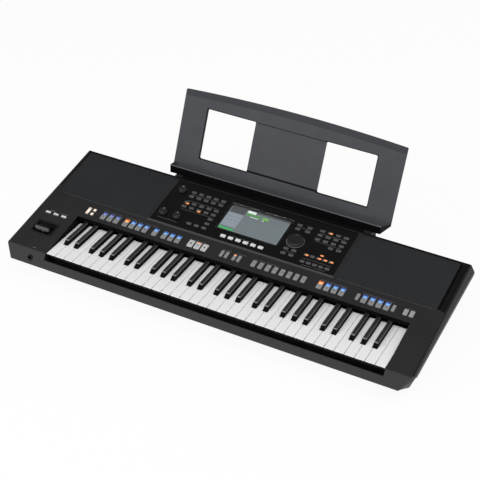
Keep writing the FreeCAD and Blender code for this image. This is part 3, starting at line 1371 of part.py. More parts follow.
def usb_ports():
    outer = NOSE_Y + REAR_WALL_SETBACK + PLATE_THICK
    ports = []
    for x in usb_places():
        half = USB_WIDTH / 2
        tall = USB_HEIGHT / 2
        shell = USB_SHELL
        back = outer - USB_DEPTH
        can = box(x - half - shell, x + half + shell, back, outer, JACK_HEIGHT - tall - shell, JACK_HEIGHT + tall + shell)
        room = box(x - half, x + half, back + shell, outer + 1, JACK_HEIGHT - tall, JACK_HEIGHT + tall)
        ports.append(can.cut(room))
    return ports


def dc_inlet():
    outer = NOSE_Y + REAR_WALL_SETBACK + PLATE_THICK
    half = INLET_SIZE / 2
    body = box(INLET_X - half, INLET_X + half, outer - INLET_DEPTH, outer, JACK_HEIGHT - half, JACK_HEIGHT + half)
    base = V(INLET_X, outer - INLET_DEPTH + WALL, JACK_HEIGHT)
    bore = cylinder(INLET_RADIUS, base, V(INLET_X, outer + 1, JACK_HEIGHT))
    pin = cylinder(INLET_PIN_RADIUS, base - V(0, 1, 0), V(INLET_X, outer - 1, JACK_HEIGHT))
    return fuse([body.cut(bore), pin])


def power_button():
    """A round plunger that runs in the plate, with its switch body behind in the same unit's bore."""
    outer = NOSE_Y + REAR_WALL_SETBACK + PLATE_THICK
    low = V(POWER_X, outer - PLATE_THICK - POWER_TRAVEL, JACK_HEIGHT)
    plunger = cylinder(POWER_RADIUS, low, V(POWER_X, outer + POWER_PROUD, JACK_HEIGHT))
    crown = [e for e in plunger.Edges if e.BoundBox.YMin > outer + POWER_PROUD - 0.01]
    return plunger.makeFillet(1, crown)


def power_switch():
    """The switch body behind the plate: a cup that the plunger sinks into."""
    inner = NOSE_Y + REAR_WALL_SETBACK
    half = POWER_BODY / 2
    body = box(POWER_X - half, POWER_X + half, inner - POWER_BODY_DEPTH, inner, JACK_HEIGHT - half, JACK_HEIGHT + half)
    depth = 2 * POWER_TRAVEL + POWER_GAP
    room = cylinder(POWER_RADIUS + POWER_GAP, V(POWER_X, inner - depth, JACK_HEIGHT), V(POWER_X, inner + 1, JACK_HEIGHT))
    return body.cut(room)


# Boards in the tub


def tub_board(centre, width):
    low = FLOOR_TOP + BOARD_POST
    front = NOSE_Y + BOARD_SETBACK
    return box(centre - width / 2, centre + width / 2, front, front + MAIN_BOARD_LENGTH, low, low + BOARD_THICK)


def heat_sink():
    """A finned block standing on the amplifier board."""
    low = FLOOR_TOP + BOARD_POST + BOARD_THICK
    front = NOSE_Y + BOARD_SETBACK + (MAIN_BOARD_LENGTH - SINK_DEPTH) / 2
    left = AMP_BOARD_X - SINK_WIDTH / 2
    made = [box(left, left + SINK_WIDTH, front, front + SINK_DEPTH, low, low + 2 * FIN_THICK)]
    step = (SINK_WIDTH - FIN_THICK) / (SINK_FINS - 1)
    for i in range(SINK_FINS):
        x = left + i * step
        made.append(box(x, x + FIN_THICK, front, front + SINK_DEPTH, low + FIN_THICK, low + SINK_HEIGHT))
    return fuse(made)


def main_board():
    """The main board with its processor, memory and connector blocks."""
    board = tub_board(MAIN_BOARD_X, MAIN_BOARD_WIDTH)
    top = FLOOR_TOP + BOARD_POST + BOARD_THICK
    middle = NOSE_Y + BOARD_SETBACK + MAIN_BOARD_LENGTH / 2
    chips = []
    for i in range(4):
        x = MAIN_BOARD_X + (i - 1.5) * MAIN_BOARD_WIDTH / 5
        size = POT_SIZE - i
        chips.append(box(x - size, x + size, middle - size, middle + size, top - 1, top + FIN_THICK))
    return fuse([board] + chips)


# Music rest


def rest_face(width, base, height, arch, corner):
    """Outline of the rest's plate: straight below and at the sides, arched on top."""
    half = width / 2
    bottom = V(-half, base, 0)
    other = V(half, base, 0)
    rise = V(half, height, 0)
    fall = V(-half, height, 0)
    crest = Part.Arc(rise, V(0, height + arch, 0), fall).toShape()
    sides = [Part.LineSegment(bottom, other).toShape(), Part.LineSegment(other, rise).toShape()]
    sides += [crest, Part.LineSegment(fall, bottom).toShape()]
    plate = Part.Face(Part.Wire(sides)).extrude(V(0, 0, -REST_THICK))
    upright = [e for e in plate.Edges if e.BoundBox.ZLength > REST_THICK / 2 and e.BoundBox.YMin > height - 1]
    return plate.makeFillet(corner, upright)


def rest_ledge():
    """The trough that holds the books: lip, floor and end walls that flare to the plate and slope down to it."""
    front = NOSE_Y + LEDGE_SETBACK
    back = NOSE_Y + REST_SETBACK + REST_THICK / math.cos(TILT)
    thick = LEDGE_LIP_THICK
    near = LEDGE_WIDTH / 2
    far = REST_WIDTH / 2
    outline = [(-near, front), (near, front), (far, back), (-far, back)]
    corners = [LEDGE_CORNER, LEDGE_CORNER, 0, 0]
    outer = rounded_face(outline, corners, lambda a, b: V(a, b, BLOCK_HEIGHT)).extrude(V(0, 0, LEDGE_LIP))
    inside = [(thick - near, front + thick), (near - thick, front + thick), (far - thick, back), (thick - far, back)]
    room = rounded_face(inside, [0] * 4, lambda a, b: V(a, b, REST_BASE)).extrude(V(0, 0, LEDGE_LIP))
    low = REST_BASE + LEDGE_END
    slope = [(LEDGE_SETBACK + thick, BLOCK_HEIGHT + LEDGE_LIP), (REST_SETBACK, low), (FAR, low), (FAR, FAR)]
    slope.append((LEDGE_SETBACK + thick, FAR))
    over = side_prism(slope, [0] * len(slope), -FAR, FAR)
    return outer.cut([room, over])


def music_rest():
    plate = rest_face(REST_WIDTH, -LEDGE_FLOOR / 2, REST_HEIGHT, REST_ARCH, REST_CORNER)
    holes = []
    for side in (-1, 1):
        ends = sorted((side * (REST_WIDTH / 2 - WINDOW_INSET), side * (REST_WIDTH / 2 - WINDOW_INSET - WINDOW_WIDTH)))
        top = WINDOW_BASE + WINDOW_HEIGHT
        holes.append(rounded_slab(ends[0], ends[1], WINDOW_BASE, top, -FAR, FAR, WINDOW_CORNER))
    middle = REST_WIDTH / 2 - WINDOW_INSET - WINDOW_WIDTH / 2
    pocket = -REST_PANEL_SINK - REST_PANEL_THICK
    holes.append(box(-middle, middle, WINDOW_BASE, WINDOW_BASE + WINDOW_HEIGHT, pocket, FAR))
    plate = on_rest(plate.cut(holes))
    ledge = rest_ledge()
    tabs = []
    for x in tab_places():
        middle = NOSE_Y + TAB_SETBACK
        half = TAB_THICK / 2
        low = BLOCK_HEIGHT - TAB_DEPTH
        tabs.append(box(x - TAB_WIDTH / 2, x + TAB_WIDTH / 2, middle - half, middle + half, low, BLOCK_HEIGHT + 1))
    return fuse([plate, ledge] + tabs)


def music_rest_panel():
    """The plate between the windows, sunk below the rest's face with a groove above and below."""
    half = REST_WIDTH / 2 - WINDOW_INSET - WINDOW_WIDTH
    base = WINDOW_BASE + REST_PANEL_GROOVE
    high = WINDOW_BASE + WINDOW_HEIGHT - REST_PANEL_GROOVE
    low = -REST_PANEL_SINK - REST_PANEL_THICK
    return on_rest(box(-half, half, base, high, low, -REST_PANEL_SINK))


os.makedirs("parts", exist_ok=True)

save("upper_case", upper_case())
save("lower_case", lower_case())
save("rubber_feet", *rubber_feet())
save("case_screws", *case_screws())
save("control_panel", control_panel())
save("display_glass", display_glass())
save("display_module", display_module())
save("switch_boards", strip_switch_board(), panel_switch_board(), wing_switch_board())
save("rotary_controls", *rotary_controls())
for name, ends in zip(("left_speaker_grille", "right_speaker_grille"), grille_ends()):
    save(name, grille(ends))
save("woofer_frames", woofer_frame(-1), woofer_frame(1))
save("woofer_cones", woofer_cone(-1), woofer_cone(1))
save("tweeters", tweeter(-1), tweeter(1))
save("key_frame", key_frame())
save("key_pivot_rod", key_pivot_rod())
save("key_stop_felt", key_stop_felt())
save("key_contact_board", key_contact_board())
save("contact_domes", contact_domes())
save("key_return_springs", key_return_springs())
for slot, note in enumerate(NOTES):
    save(note + "_keys", *key_group(slot))
save("joystick_bezel", joystick_bezel())
save("joystick_gimbal", joystick_gimbal())
save("joystick_lever", joystick_lever())
save("rear_jack_plate", rear_jack_plate())
save("rear_jacks", *rear_jacks())
save("phones_jack", phones_jack())
save("usb_ports", *usb_ports())
save("dc_inlet", dc_inlet())
save("power_switch", power_switch())
save("power_button", power_button())
save("main_board", main_board())
save("power_amp_board", tub_board(AMP_BOARD_X, AMP_BOARD_WIDTH))
save("heat_sink", heat_sink())
save("master_volume_knob", pointer_knob(VOLUME_X, VOLUME_RUN))
save("left_live_knob", pointer_knob(LIVE_X, LIVE_RUN))
save("right_live_knob", pointer_knob(LIVE_X + LIVE_PITCH, LIVE_RUN))
save("data_dial", data_dial())
save("wing_buttons", *button_group(wing_row, 0, -WALL))
save("style_buttons", *button_group(flat([cluster] + style_runs), 0, -WALL))
save("transport_buttons", *button_group(flat(transport_runs), 0, -WALL))
save("registration_buttons", *button_group(flat(registration_runs), 0, -WALL))
save("pad_buttons", *button_group(flat(pad_runs), 0, -WALL))
save("octave_buttons", *button_group(flat(octave_runs), 0, -WALL))
save("left_panel_buttons", *button_group(left_panel, -PANEL_SINK, PANEL_UNDER))
save("right_panel_buttons", *button_group(right_panel, -PANEL_SINK, PANEL_UNDER))
save("screen_buttons", *button_group(screen_row, -PANEL_SINK, PANEL_UNDER))
save("music_rest", music_rest())
save("music_rest_panel", music_rest_panel())
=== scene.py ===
import json
import math

import bmesh
import bpy
from mathutils import Matrix, Vector


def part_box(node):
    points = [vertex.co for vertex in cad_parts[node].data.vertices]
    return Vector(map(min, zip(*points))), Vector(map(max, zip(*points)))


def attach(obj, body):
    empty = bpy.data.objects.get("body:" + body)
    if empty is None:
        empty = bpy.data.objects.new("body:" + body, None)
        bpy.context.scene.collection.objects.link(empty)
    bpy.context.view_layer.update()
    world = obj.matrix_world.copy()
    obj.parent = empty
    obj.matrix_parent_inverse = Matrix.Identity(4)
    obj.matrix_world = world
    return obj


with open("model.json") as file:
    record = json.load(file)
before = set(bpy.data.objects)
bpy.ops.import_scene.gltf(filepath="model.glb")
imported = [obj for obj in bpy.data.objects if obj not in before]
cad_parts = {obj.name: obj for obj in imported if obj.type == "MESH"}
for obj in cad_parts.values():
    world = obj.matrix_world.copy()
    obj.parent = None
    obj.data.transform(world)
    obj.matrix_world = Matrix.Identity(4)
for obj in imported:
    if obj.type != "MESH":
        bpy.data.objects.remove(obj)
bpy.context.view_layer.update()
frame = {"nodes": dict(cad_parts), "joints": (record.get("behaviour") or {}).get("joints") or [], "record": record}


# Lower case: a shallow tub of black ABS that carries everything inside and tapers to the table.
# It is moulded in one shot with a fine spark texture, and its rim meets the upper case all round.
TUB_BLACK = (0.014, 0.014, 0.0145)
TUB_SHINE = 0.3
EDGE_SOFTNESS = 0.0006
EDGE_SAMPLES = 4
EDGE_BLUR = 0.0002
WORN_AND_HIGHLIT_EDGE = 0.0012
WORN_AND_HIGHLIT_SPAN = (0.86, 0.995)
GRAIN_DETAIL = 2.0
RAMP_SPAN = (0.3, 0.7)
SPARK_SKIN = (0.0007, 0.00003)
MOTTLE_SIZE = 0.06
MOTTLE_DETAIL = 4.0
MOTTLE_TONES = (0.93, 1.07)
ROUGHNESS_SPREAD = 0.07
MATT = 0.5
PLASTIC_WEAR_AND_HIGHLIGHT = 1.6
PLASTIC_SHINE = 0.1
MIX_COLOURS = (6, 7)
MIX_RESULT = 2
VECTOR_SUMS = {"DOT_PRODUCT": "Value", "LENGTH": "Value", "FRACTION": "Vector"}
PARTING_SHADE = (0.002, 0.002, 0.002)
PARTING_FRONT = 0.0435
PARTING_BACK = 0.0825
PARTING_DEPTH = 0.012


def feed(tree, node, sources):
    """Links the sockets of a node to outputs of other nodes, or sets them to plain values."""
    for socket, source in sources.items():
        if isinstance(source, bpy.types.NodeSocket):
            tree.links.new(source, node.inputs[socket])
        else:
            node.inputs[socket].default_value = source


def add_node(tree, kind, sources, **settings):
    """A new node with its settings made and its sockets fed."""
    node = tree.nodes.new("ShaderNode" + kind)
    for setting, value in settings.items():
        setattr(node, setting, value)
    feed(tree, node, sources)
    return node


def start_finish(name, colour, roughness):
    """A new material with its colour and roughness on the shader's own sockets."""
    material = bpy.data.materials.new(name)
    material.use_nodes = True
    tree = material.node_tree
    shader = tree.nodes["Principled BSDF"]
    feed(tree, shader, {"Base Color": (*colour, 1), "Roughness": roughness})
    return material, tree, shader


def figured(tree, operation, *terms):
    """What one calculation gives, from outputs of other nodes and plain values."""
    kind = "VectorMath" if operation in VECTOR_SUMS else "Math"
    node = add_node(tree, kind, dict(enumerate(terms)), operation=operation)
    return node.outputs[VECTOR_SUMS.get(operation, "Value")]


def own_place(tree):
    """The point on the piece, in metres, in the piece's own frame."""
    return add_node(tree, "TexCoord", {}).outputs["Object"]


def grain(tree, size, detail=GRAIN_DETAIL, place=None):
    """Noise with cells of a given size in metres."""
    place = own_place(tree) if place is None else place
    return add_node(tree, "TexNoise", {"Vector": place, "Scale": 1 / size, "Detail": detail}).outputs[0]


def lighter(colour, factor):
    return tuple(min(1.0, part * factor) for part in colour)


def ramp(tree, amount, colour, tones):
    """A colour that goes from a first to a second tone of itself, by an amount."""
    node = add_node(tree, "ValToRGB", {"Fac": amount})
    for end, position, tone in zip(node.color_ramp.elements, RAMP_SPAN, tones):
        end.position = position
        end.color = (*lighter(colour, tone), 1)
    return node.outputs["Color"]


def spread(tree, amount, low, high, start=0.0, end=1.0):
    """An amount from start to end, stretched over low to high."""
    ends = {"From Min": start, "From Max": end, "To Min": low, "To Max": high}
    return add_node(tree, "MapRange", {"Value": amount, **ends}).outputs["Result"]


def soft_normal(tree, softness):
    """The way the surface faces, with its edges rounded by a radius in metres."""
    return add_node(tree, "Bevel", {"Radius": softness}, samples=EDGE_SAMPLES).outputs["Normal"]


def relief(tree, shader, height, depth, softness=EDGE_SOFTNESS):
    """Bump of a given depth in metres on rounded edges."""
    ground = {"Distance": depth, "Height": height, "Normal": soft_normal(tree, softness)}
    feed(tree, shader, {"Normal": add_node(tree, "Bump", ground).outputs["Normal"]})


def worn(tree, softness):
    """How near a point is to an edge, where hands and cloths polish it and where a highlight is painted."""
    flat = add_node(tree, "NewGeometry", {}).outputs["Normal"]
    turn = figured(tree, "DOT_PRODUCT", soft_normal(tree, softness), flat)
    return spread(tree, turn, 1.0, 0.0, *WORN_AND_HIGHLIT_SPAN)


def mixed(tree, amount, first, second):
    """One colour where the amount is 0 and another where it is 1."""
    sources = {0: amount}
    for socket, colour in zip(MIX_COLOURS, (first, second)):
        sources[socket] = (*colour, 1) if isinstance(colour, tuple) else colour
    return add_node(tree, "Mix", sources, data_type="RGBA").outputs[MIX_RESULT]


def moulded(name, colour, roughness, skin=SPARK_SKIN, wear_and_highlight=PLASTIC_WEAR_AND_HIGHLIGHT, areas=(), shine=PLASTIC_SHINE):
    """Moulded plastic: a fine skin, faint mottling, and edges made lighter by rubbed wear and a painted highlight.

    The skin is the size and the depth of its grain. Each area is a function that says where on the
    piece it lies, and the colour of the piece there.
    """
    size, depth = skin
    material, tree, shader = start_finish(name, colour, roughness)
    body = ramp(tree, grain(tree, MOTTLE_SIZE, MOTTLE_DETAIL), colour, MOTTLE_TONES)
    tone = mixed(tree, worn(tree, WORN_AND_HIGHLIT_EDGE), body, lighter(colour, wear_and_highlight))
    for where, other in areas:
        tone = mixed(tree, where(tree), tone, other)
    fine = grain(tree, size)
    rough = spread(tree, fine, roughness - ROUGHNESS_SPREAD, roughness + ROUGHNESS_SPREAD)
    feed(tree, shader, {"Base Color": tone, "Roughness": rough, "Specular IOR Level": shine})
    relief(tree, shader, fine, depth)
    return material


def dress(material, *names):
    """Gives CAD nodes their finish."""
    for name in names:
        frame["nodes"][name].material_slots[0].material = material


def along(tree, direction):
    """How far a point of the piece lies along a direction, in metres."""
    return figured(tree, "DOT_PRODUCT", own_place(tree), direction)


def above(tree, amount, start):
    """1 where an amount is past a start, and 0 before it."""
    return spread(tree, amount, 0.0, 1.0, start - EDGE_BLUR, start + EDGE_BLUR)


def past(tree, direction, start):
    """1 where a point lies further along a direction than a start in metres, and 0 before it."""
    return above(tree, along(tree, direction), start)


case_low, case_high = (Vector(corner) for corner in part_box("upper_case"))
parting_run = Vector((0, case_high.y - case_low.y, PARTING_BACK - PARTING_FRONT)).normalized()
parting_out = Vector((1, 0, 0)).cross(parting_run)
parting_level = Vector((0, case_low.y, PARTING_FRONT)).dot(parting_out)


def parting_groove(tree):
    """Painted shade on the rim of the tub, where the upper case shades it."""
    return past(tree, parting_out, parting_level - PARTING_DEPTH)


tub_areas = [(parting_groove, PARTING_SHADE)]
dress(moulded("tub_plastic", TUB_BLACK, MATT, areas=tub_areas, shine=TUB_SHINE), "lower_case")


# Rubber feet: six soft black discs pressed into the tub's floor, so that the keyboard stays put.
# They are moulded nitrile rubber, dull, with a little bloom on the surface.
FOOT_BLACK = (0.012, 0.012, 0.012)
FOOT_ROUGH = 0.85
BLOOM_SKIN = (0.004, 0.0001)
LIGHT_WEAR = 1.1

dress(moulded("foot_rubber", FOOT_BLACK, FOOT_ROUGH, BLOOM_SKIN, LIGHT_WEAR), "rubber_feet")


# Boards in the tub: the main board and the amplifier board on posts, glass laminate under green
# lacquer with copper tracks below it, and the amplifier's finned heat sink of extruded aluminium.
LACQUER_GREEN = (0.012, 0.075, 0.03)
LACQUER_SHADE = 0.85
LACQUER_ROUGH = 0.35
TRACK_GREEN = (0.02, 0.14, 0.055)
TRACK_PITCH = 0.0025
TRACK_SHARE = 0.08
TRACK_DEPTH = 0.00003
SINK_GREY = (0.55, 0.55, 0.56)
SINK_LINES = (60, 900, 900)
BRUSHED = 0.4
BRUSH_TONES = (0.85, 1.1)
BRUSH_SMOOTH = 0.08
BRUSH_ROUGH = 0.12
BRUSH_DEPTH = 0.00001


def fields(tree, pitch, first, second, lines):
    """Small fields in rows with lines between them, at a pitch in metres."""
    colours = {"Color1": (*first, 1), "Color2": (*second, 1), "Mortar": (*lines, 1)}
    return add_node(tree, "TexBrick", {"Vector": own_place(tree), "Scale": 1 / pitch, **colours})


def board_laminate():
    material, tree, shader = start_finish("board_laminate", LACQUER_GREEN, LACQUER_ROUGH)
    tracks = fields(tree, TRACK_PITCH, LACQUER_GREEN, lighter(LACQUER_GREEN, LACQUER_SHADE), TRACK_GREEN)
    feed(tree, tracks, {"Mortar Size": TRACK_SHARE})
    feed(tree, shader, {"Base Color": tracks.outputs["Color"]})
    relief(tree, shader, tracks.outputs["Fac"], TRACK_DEPTH)
    return material


def stretched(tree, place, scale, shift=(0.0, 0.0, 0.0)):
    """A place scaled along each axis, and then shifted."""
    sources = {"Vector": place, "Location": shift, "Scale": scale}
    return add_node(tree, "Mapping", sources).outputs["Vector"]


def drawn_metal(name, colour, roughness, lines):
    """Metal with fine lines, so many to the metre on each axis, from drawing, rolling or brushing."""
    material, tree, shader = start_finish(name, colour, roughness)
    brush = grain(tree, 1.0, place=stretched(tree, own_place(tree), lines))
    tone = ramp(tree, brush, colour, BRUSH_TONES)
    rough = spread(tree, brush, roughness - BRUSH_SMOOTH, roughness + BRUSH_ROUGH)
    feed(tree, shader, {"Base Color": tone, "Roughness": rough, "Metallic": 1})
    relief(tree, shader, brush, BRUSH_DEPTH)
    return material


green_board = board_laminate()
dress(green_board, "main_board", "power_amp_board")
dress(drawn_metal("extruded_aluminium", SINK_GREY, BRUSHED, SINK_LINES), "heat_sink")


# Rear jack plate and sockets: a satin plate let into the tub's back wall, with four nylon jack
# sockets and their plated nuts, two USB shells, the inlet for the power lead and the push button.
PLATE_BLACK = (0.012, 0.012, 0.013)
PLATE_ROUGH = 0.38
SATIN = 0.4
SATIN_SKIN = (0.0005, 0.00002)
NYLON_BLACK = (0.016, 0.016, 0.016)
NYLON_SKIN = (0.0004, 0.00001)
PHONES_BLACK = (0.003, 0.003, 0.003)
PHONES_WEAR = 1.3
SHELL_STEEL = (0.62, 0.62, 0.6)
SHELL_ROUGH = 0.28
SHELL_LINES = (700, 700, 80)
POWER_GREY = (0.05, 0.05, 0.052)
NUT_BORE = 0.0036
NUT_RADIUS = 0.0056
NUT_PROUD = 0.0009
NUT_EDGE = 0.0004
NUT_STEPS = 48
RIB_STEPS = 4


def in_scene(name, data):
    """A new object in the scene."""
    thing = bpy.data.objects.new(name, data)
    bpy.context.scene.collection.objects.link(thing)
    return thing


def finished(mesh, name, material):
    """A finished mesh as an object in the scene."""
    data = bpy.data.meshes.new(name)
    mesh.to_mesh(data)
    mesh.free()
    data.materials.append(material)
    return in_scene(name, data)


def ride_piece(mesh, name, material, body):
    """A finished mesh as a piece that rides on a body."""
    bmesh.ops.recalc_face_normals(mesh, faces=mesh.faces)
    piece = finished(mesh, name, material)
    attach(piece, body)


def add_ring(mesh, middle, axes, profile, steps, ribs=0.0):
    """A ring about the last axis, from a closed profile of radius, lift and share of the ribs' height."""
    right, up, out = axes
    turns = []
    for i in range(steps):
        angle = 2 * math.pi * i / steps
        spoke = right * math.cos(angle) + up * math.sin(angle)
        proud = ribs if i % RIB_STEPS < RIB_STEPS / 2 else 0.0
        places = [middle + spoke * (radius + proud * rib) + out * lift for radius, lift, rib in profile]
        turns.append([mesh.verts.new(place) for place in places])
    for i in range(steps):
        here, after = turns[i], turns[(i + 1) % steps]
        for j in range(len(profile)):
            k = (j + 1) % len(profile)
            mesh.faces.new((here[j], after[j], after[k], here[k]))


plated_steel = drawn_metal("plated_steel", SHELL_STEEL, SHELL_ROUGH, SHELL_LINES)
dress(moulded("socket_nylon", NYLON_BLACK, SATIN, NYLON_SKIN), "rear_jacks", "dc_inlet", "power_switch")
dress(moulded("plate_satin", PLATE_BLACK, PLATE_ROUGH, SATIN_SKIN), "rear_jack_plate")
dress(moulded("phones_nylon", PHONES_BLACK, MATT, NYLON_SKIN, PHONES_WEAR), "phones_jack")
dress(plated_steel, "usb_ports")
dress(moulded("power_button_plastic", POWER_GREY, SATIN, SATIN_SKIN), "power_button")
nuts = bmesh.new()
nut_axes = (Vector((-1, 0, 0)), Vector((0, 0, 1)), Vector((0, 1, 0)))
nut_profile = [
    (NUT_BORE, -NUT_EDGE, 0), (NUT_RADIUS, -NUT_EDGE, 0), (NUT_RADIUS, NUT_PROUD - NUT_EDGE, 0),
    (NUT_RADIUS - NUT_EDGE, NUT_PROUD, 0), (NUT_BORE + NUT_EDGE, NUT_PROUD, 0),
    (NUT_BORE, NUT_PROUD - NUT_EDGE, 0),
]
jack_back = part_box("rear_jacks")[1][1]
for mount in frame["record"]["mounts"]:
    if mount["name"].startswith("rear_socket"):
        x, _, z = mount["pos_m"]
        add_ring(nuts, Vector((x, jack_back, z)), nut_axes, nut_profile, NUT_STEPS)
ride_piece(nuts, "jack_nuts", plated_steel, "case")


# Key chassis: a moulded frame under the keys with the steel pivot rod, leaf springs, the contact
# board with its rubber domes, and a strip of black felt that stops the white keys.
# The frame and the felt are darker than their own black, as painted shade under the keys.
CHASSIS_BLACK_AND_SHADE = (0.004, 0.004, 0.004)
CHASSIS_SHINE = 0.04
DULL = 0.6
ROD_STEEL = (0.5, 0.5, 0.49)
ROD_ROUGH = 0.3
ROD_LINES = (40, 1200, 1200)
FELT_BLACK_AND_SHADE = (0.005, 0.005, 0.005)
FELT_TONES = (0.6, 1.3)
FELT_ROUGH = 0.95
FELT_SHEEN = 0.05
FELT_DEPTH = 0.0004
FIBRE_SIZE = 0.0009
FIBRE_DETAIL = 6.0
DOME_GREY = (0.42, 0.42, 0.4)
DOME_ROUGH = 0.7
DOME_SKIN = (0.001, 0.00003)


def wool_felt():
    material, tree, shader = start_finish("wool_felt", FELT_BLACK_AND_SHADE, FELT_ROUGH)
    fibres = grain(tree, FIBRE_SIZE, FIBRE_DETAIL)
    feed(tree, shader, {
        "Base Color": ramp(tree, fibres, FELT_BLACK_AND_SHADE, FELT_TONES),
        "Sheen Weight": FELT_SHEEN,
        "Specular IOR Level": CHASSIS_SHINE,
    })
    relief(tree, shader, fibres, FELT_DEPTH)
    return material


dress(moulded("chassis_plastic", CHASSIS_BLACK_AND_SHADE, DULL, shine=CHASSIS_SHINE), "key_frame")
dress(drawn_metal("rod_steel", ROD_STEEL, ROD_ROUGH, ROD_LINES), "key_pivot_rod", "key_return_springs")
dress(wool_felt(), "key_stop_felt")
dress(green_board, "key_contact_board")
dress(moulded("dome_rubber", DOME_GREY, DOME_ROUGH, DOME_SKIN, LIGHT_WEAR), "contact_domes")


# White keys: hollow mouldings of white ABS with polished tops. Thirty-six of them turn on the pivot
# rod, and all keys of one name hang on one body. Their lips' fronts and their tails carry painted shade.
WHITE_NAMES = ("c", "d", "e", "f", "g", "a", "b")
IVORY = (0.82, 0.81, 0.82)
IVORY_TONES = (0.975, 1.0)
IVORY_ROUGH = 0.24
IVORY_ROUGHS = (0.2, 0.29)
IVORY_DEPTH = 0.002
IVORY_GLOW = 0.05
FLOW_SIZE = 0.05
FLOW_DETAIL = 3.0
FINGER_SIZE = 0.011
FINGER_DETAIL = 5.0
FINGER_SPAN = (0.3, 0.75)
POLISH_SKIN = (0.0012, 0.000003)
LIP_SHADE = (0.014, 0.014, 0.014)
LIP_EDGE = 0.0007
LIP_REACH = 0.0128
TAIL_SHADE = (0.01, 0.01, 0.01)
TAIL_START = 0.1455

keys_low, keys_high = (Vector(corner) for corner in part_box("c_keys"))


def all_of(tree, amounts):
    """1 only where every amount is 1."""
    total = amounts[0]
    for amount in amounts[1:]:
        total = figured(tree, "MULTIPLY", total, amount)
    return total


def lip_shade(tree):
    """The lip's front below its edge and the wall set back under it, out of the light from above."""
    return all_of(tree, [
        past(tree, (0, -1, 0), -keys_low.y - LIP_REACH),
        past(tree, (0, 0, -1), LIP_EDGE - keys_high.z),
    ])


def key_tail(tree):
    """Painted shade on the tail that carries the key to the pivot rod, under the button strip."""
    return past(tree, (0, 1, 0), keys_low.y + TAIL_START)


def key_white():
    material, tree, shader = start_finish("key_white", IVORY, IVORY_ROUGH)
    tone = ramp(tree, grain(tree, FLOW_SIZE, FLOW_DETAIL), IVORY, IVORY_TONES)
    tone = mixed(tree, lip_shade(tree), tone, LIP_SHADE)
    tone = mixed(tree, key_tail(tree), tone, TAIL_SHADE)
    fingers = grain(tree, FINGER_SIZE, FINGER_DETAIL)
    feed(tree, shader, {
        "Base Color": tone,
        "Roughness": spread(tree, fingers, *IVORY_ROUGHS, *FINGER_SPAN),
        "Subsurface Weight": IVORY_GLOW,
        "Subsurface Radius": (IVORY_DEPTH,) * 3,
    })
    size, depth = POLISH_SKIN
    relief(tree, shader, grain(tree, size), depth)
    return material


dress(key_white(), *[name + "_keys" for name in WHITE_NAMES])


# Black keys: satin black mouldings with a sloped front, standing in the notches of the white ones.
# Their tops are finely textured for grip; shoulders carry a painted highlight, flanks painted shade.
BLACK_NAMES = ("c_sharp", "d_sharp", "f_sharp", "g_sharp", "a_sharp")
KEY_BLACK = (0.022, 0.022, 0.0225)
KEY_HIGHLIGHT = (0.17, 0.17, 0.171)
KEY_SHADE = (0.003, 0.003, 0.003)
KEY_SHINE = 0.2
KEY_ROUGH = 0.32
KEY_ROUGHS = (0.26, 0.42)
KEY_EDGE = 0.0014
KEY_SOFTNESS = 0.001
SHADE_SHINE = 0.02
SHADE_DROP = 0.0022
SHOULDER_DROP = 0.0005

black_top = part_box("c_sharp_keys")[1][2]


def below_top(tree, drop):
    """What lies lower than a drop below the black keys' tops."""
    return past(tree, (0, 0, -1), drop - black_top)


def key_black():
    material, tree, shader = start_finish("key_black", KEY_BLACK, KEY_ROUGH)
    flanks = below_top(tree, SHADE_DROP)
    tone = mixed(tree, worn(tree, KEY_EDGE), KEY_BLACK, KEY_HIGHLIGHT)
    tone = mixed(tree, below_top(tree, SHOULDER_DROP), tone, KEY_HIGHLIGHT)
    size, depth = SATIN_SKIN
    fine = grain(tree, size)
    feed(tree, shader, {
        "Base Color": mixed(tree, flanks, tone, KEY_SHADE),
        "Roughness": spread(tree, fine, *KEY_ROUGHS),
        "Specular IOR Level": spread(tree, flanks, KEY_SHINE, SHADE_SHINE),
    })
    relief(tree, shader, fine, depth, KEY_SOFTNESS)
    return material


dress(key_black(), *[name + "_keys" for name in BLACK_NAMES])


# Speakers: two woofers with pressed steel baskets and pulp cones, and two dome tweeters, screwed
# up under the deck behind the grilles.
BASKET_BLACK = (0.02, 0.02, 0.021)
HALF_MATT = 0.45
PULP_BLACK = (0.018, 0.018, 0.018)
PULP_ROUGH = 0.9
PULP_SKIN = (0.0015, 0.0003)
NO_WEAR = 1.0
TWEETER_BLACK = (0.02, 0.02, 0.02)

dress(moulded("basket_paint", BASKET_BLACK, HALF_MATT), "woofer_frames")
dress(moulded("cone_pulp", PULP_BLACK, PULP_ROUGH, PULP_SKIN, NO_WEAR), "woofer_cones")
dress(moulded("tweeter_plastic", TWEETER_BLACK, SATIN), "tweeters")


# Upper case: one black ABS shell with a fine spark texture, from the front cheeks over the sloping
# deck to the rear rim. It drops over the tub and is screwed to it from below.
CASE_BLACK = (0.0228, 0.0228, 0.0238)
CASE_SHINE = 0.04
CASE_TALL = 0.2
DIAL_X = 0.114
DIAL_RUN = 0.276
RECESS_SHADE = (0.003, 0.003, 0.003)
RECESS_LIFT = -0.0012
RECESS_SIDES = (-0.497, 0.497)
RECESS_RUNS = (0.03, 0.364)
RIDGE_HIGHLIGHT = (0.052, 0.052, 0.053)
RIDGE_RUNS = (0.1985, 0.2065)
RIDGE_LIFT = 0.0003
SHELF_SHADE = (0.005, 0.005, 0.005)
SHELF_RUN = 0.3628
SHELF_BACK = 0.146
SHELF_HALF = 0.2435
SLIP_DEPTH = 0.012
FRONT_GREY = (0.038, 0.038, 0.039)
FRONT_SKIN = 0.001
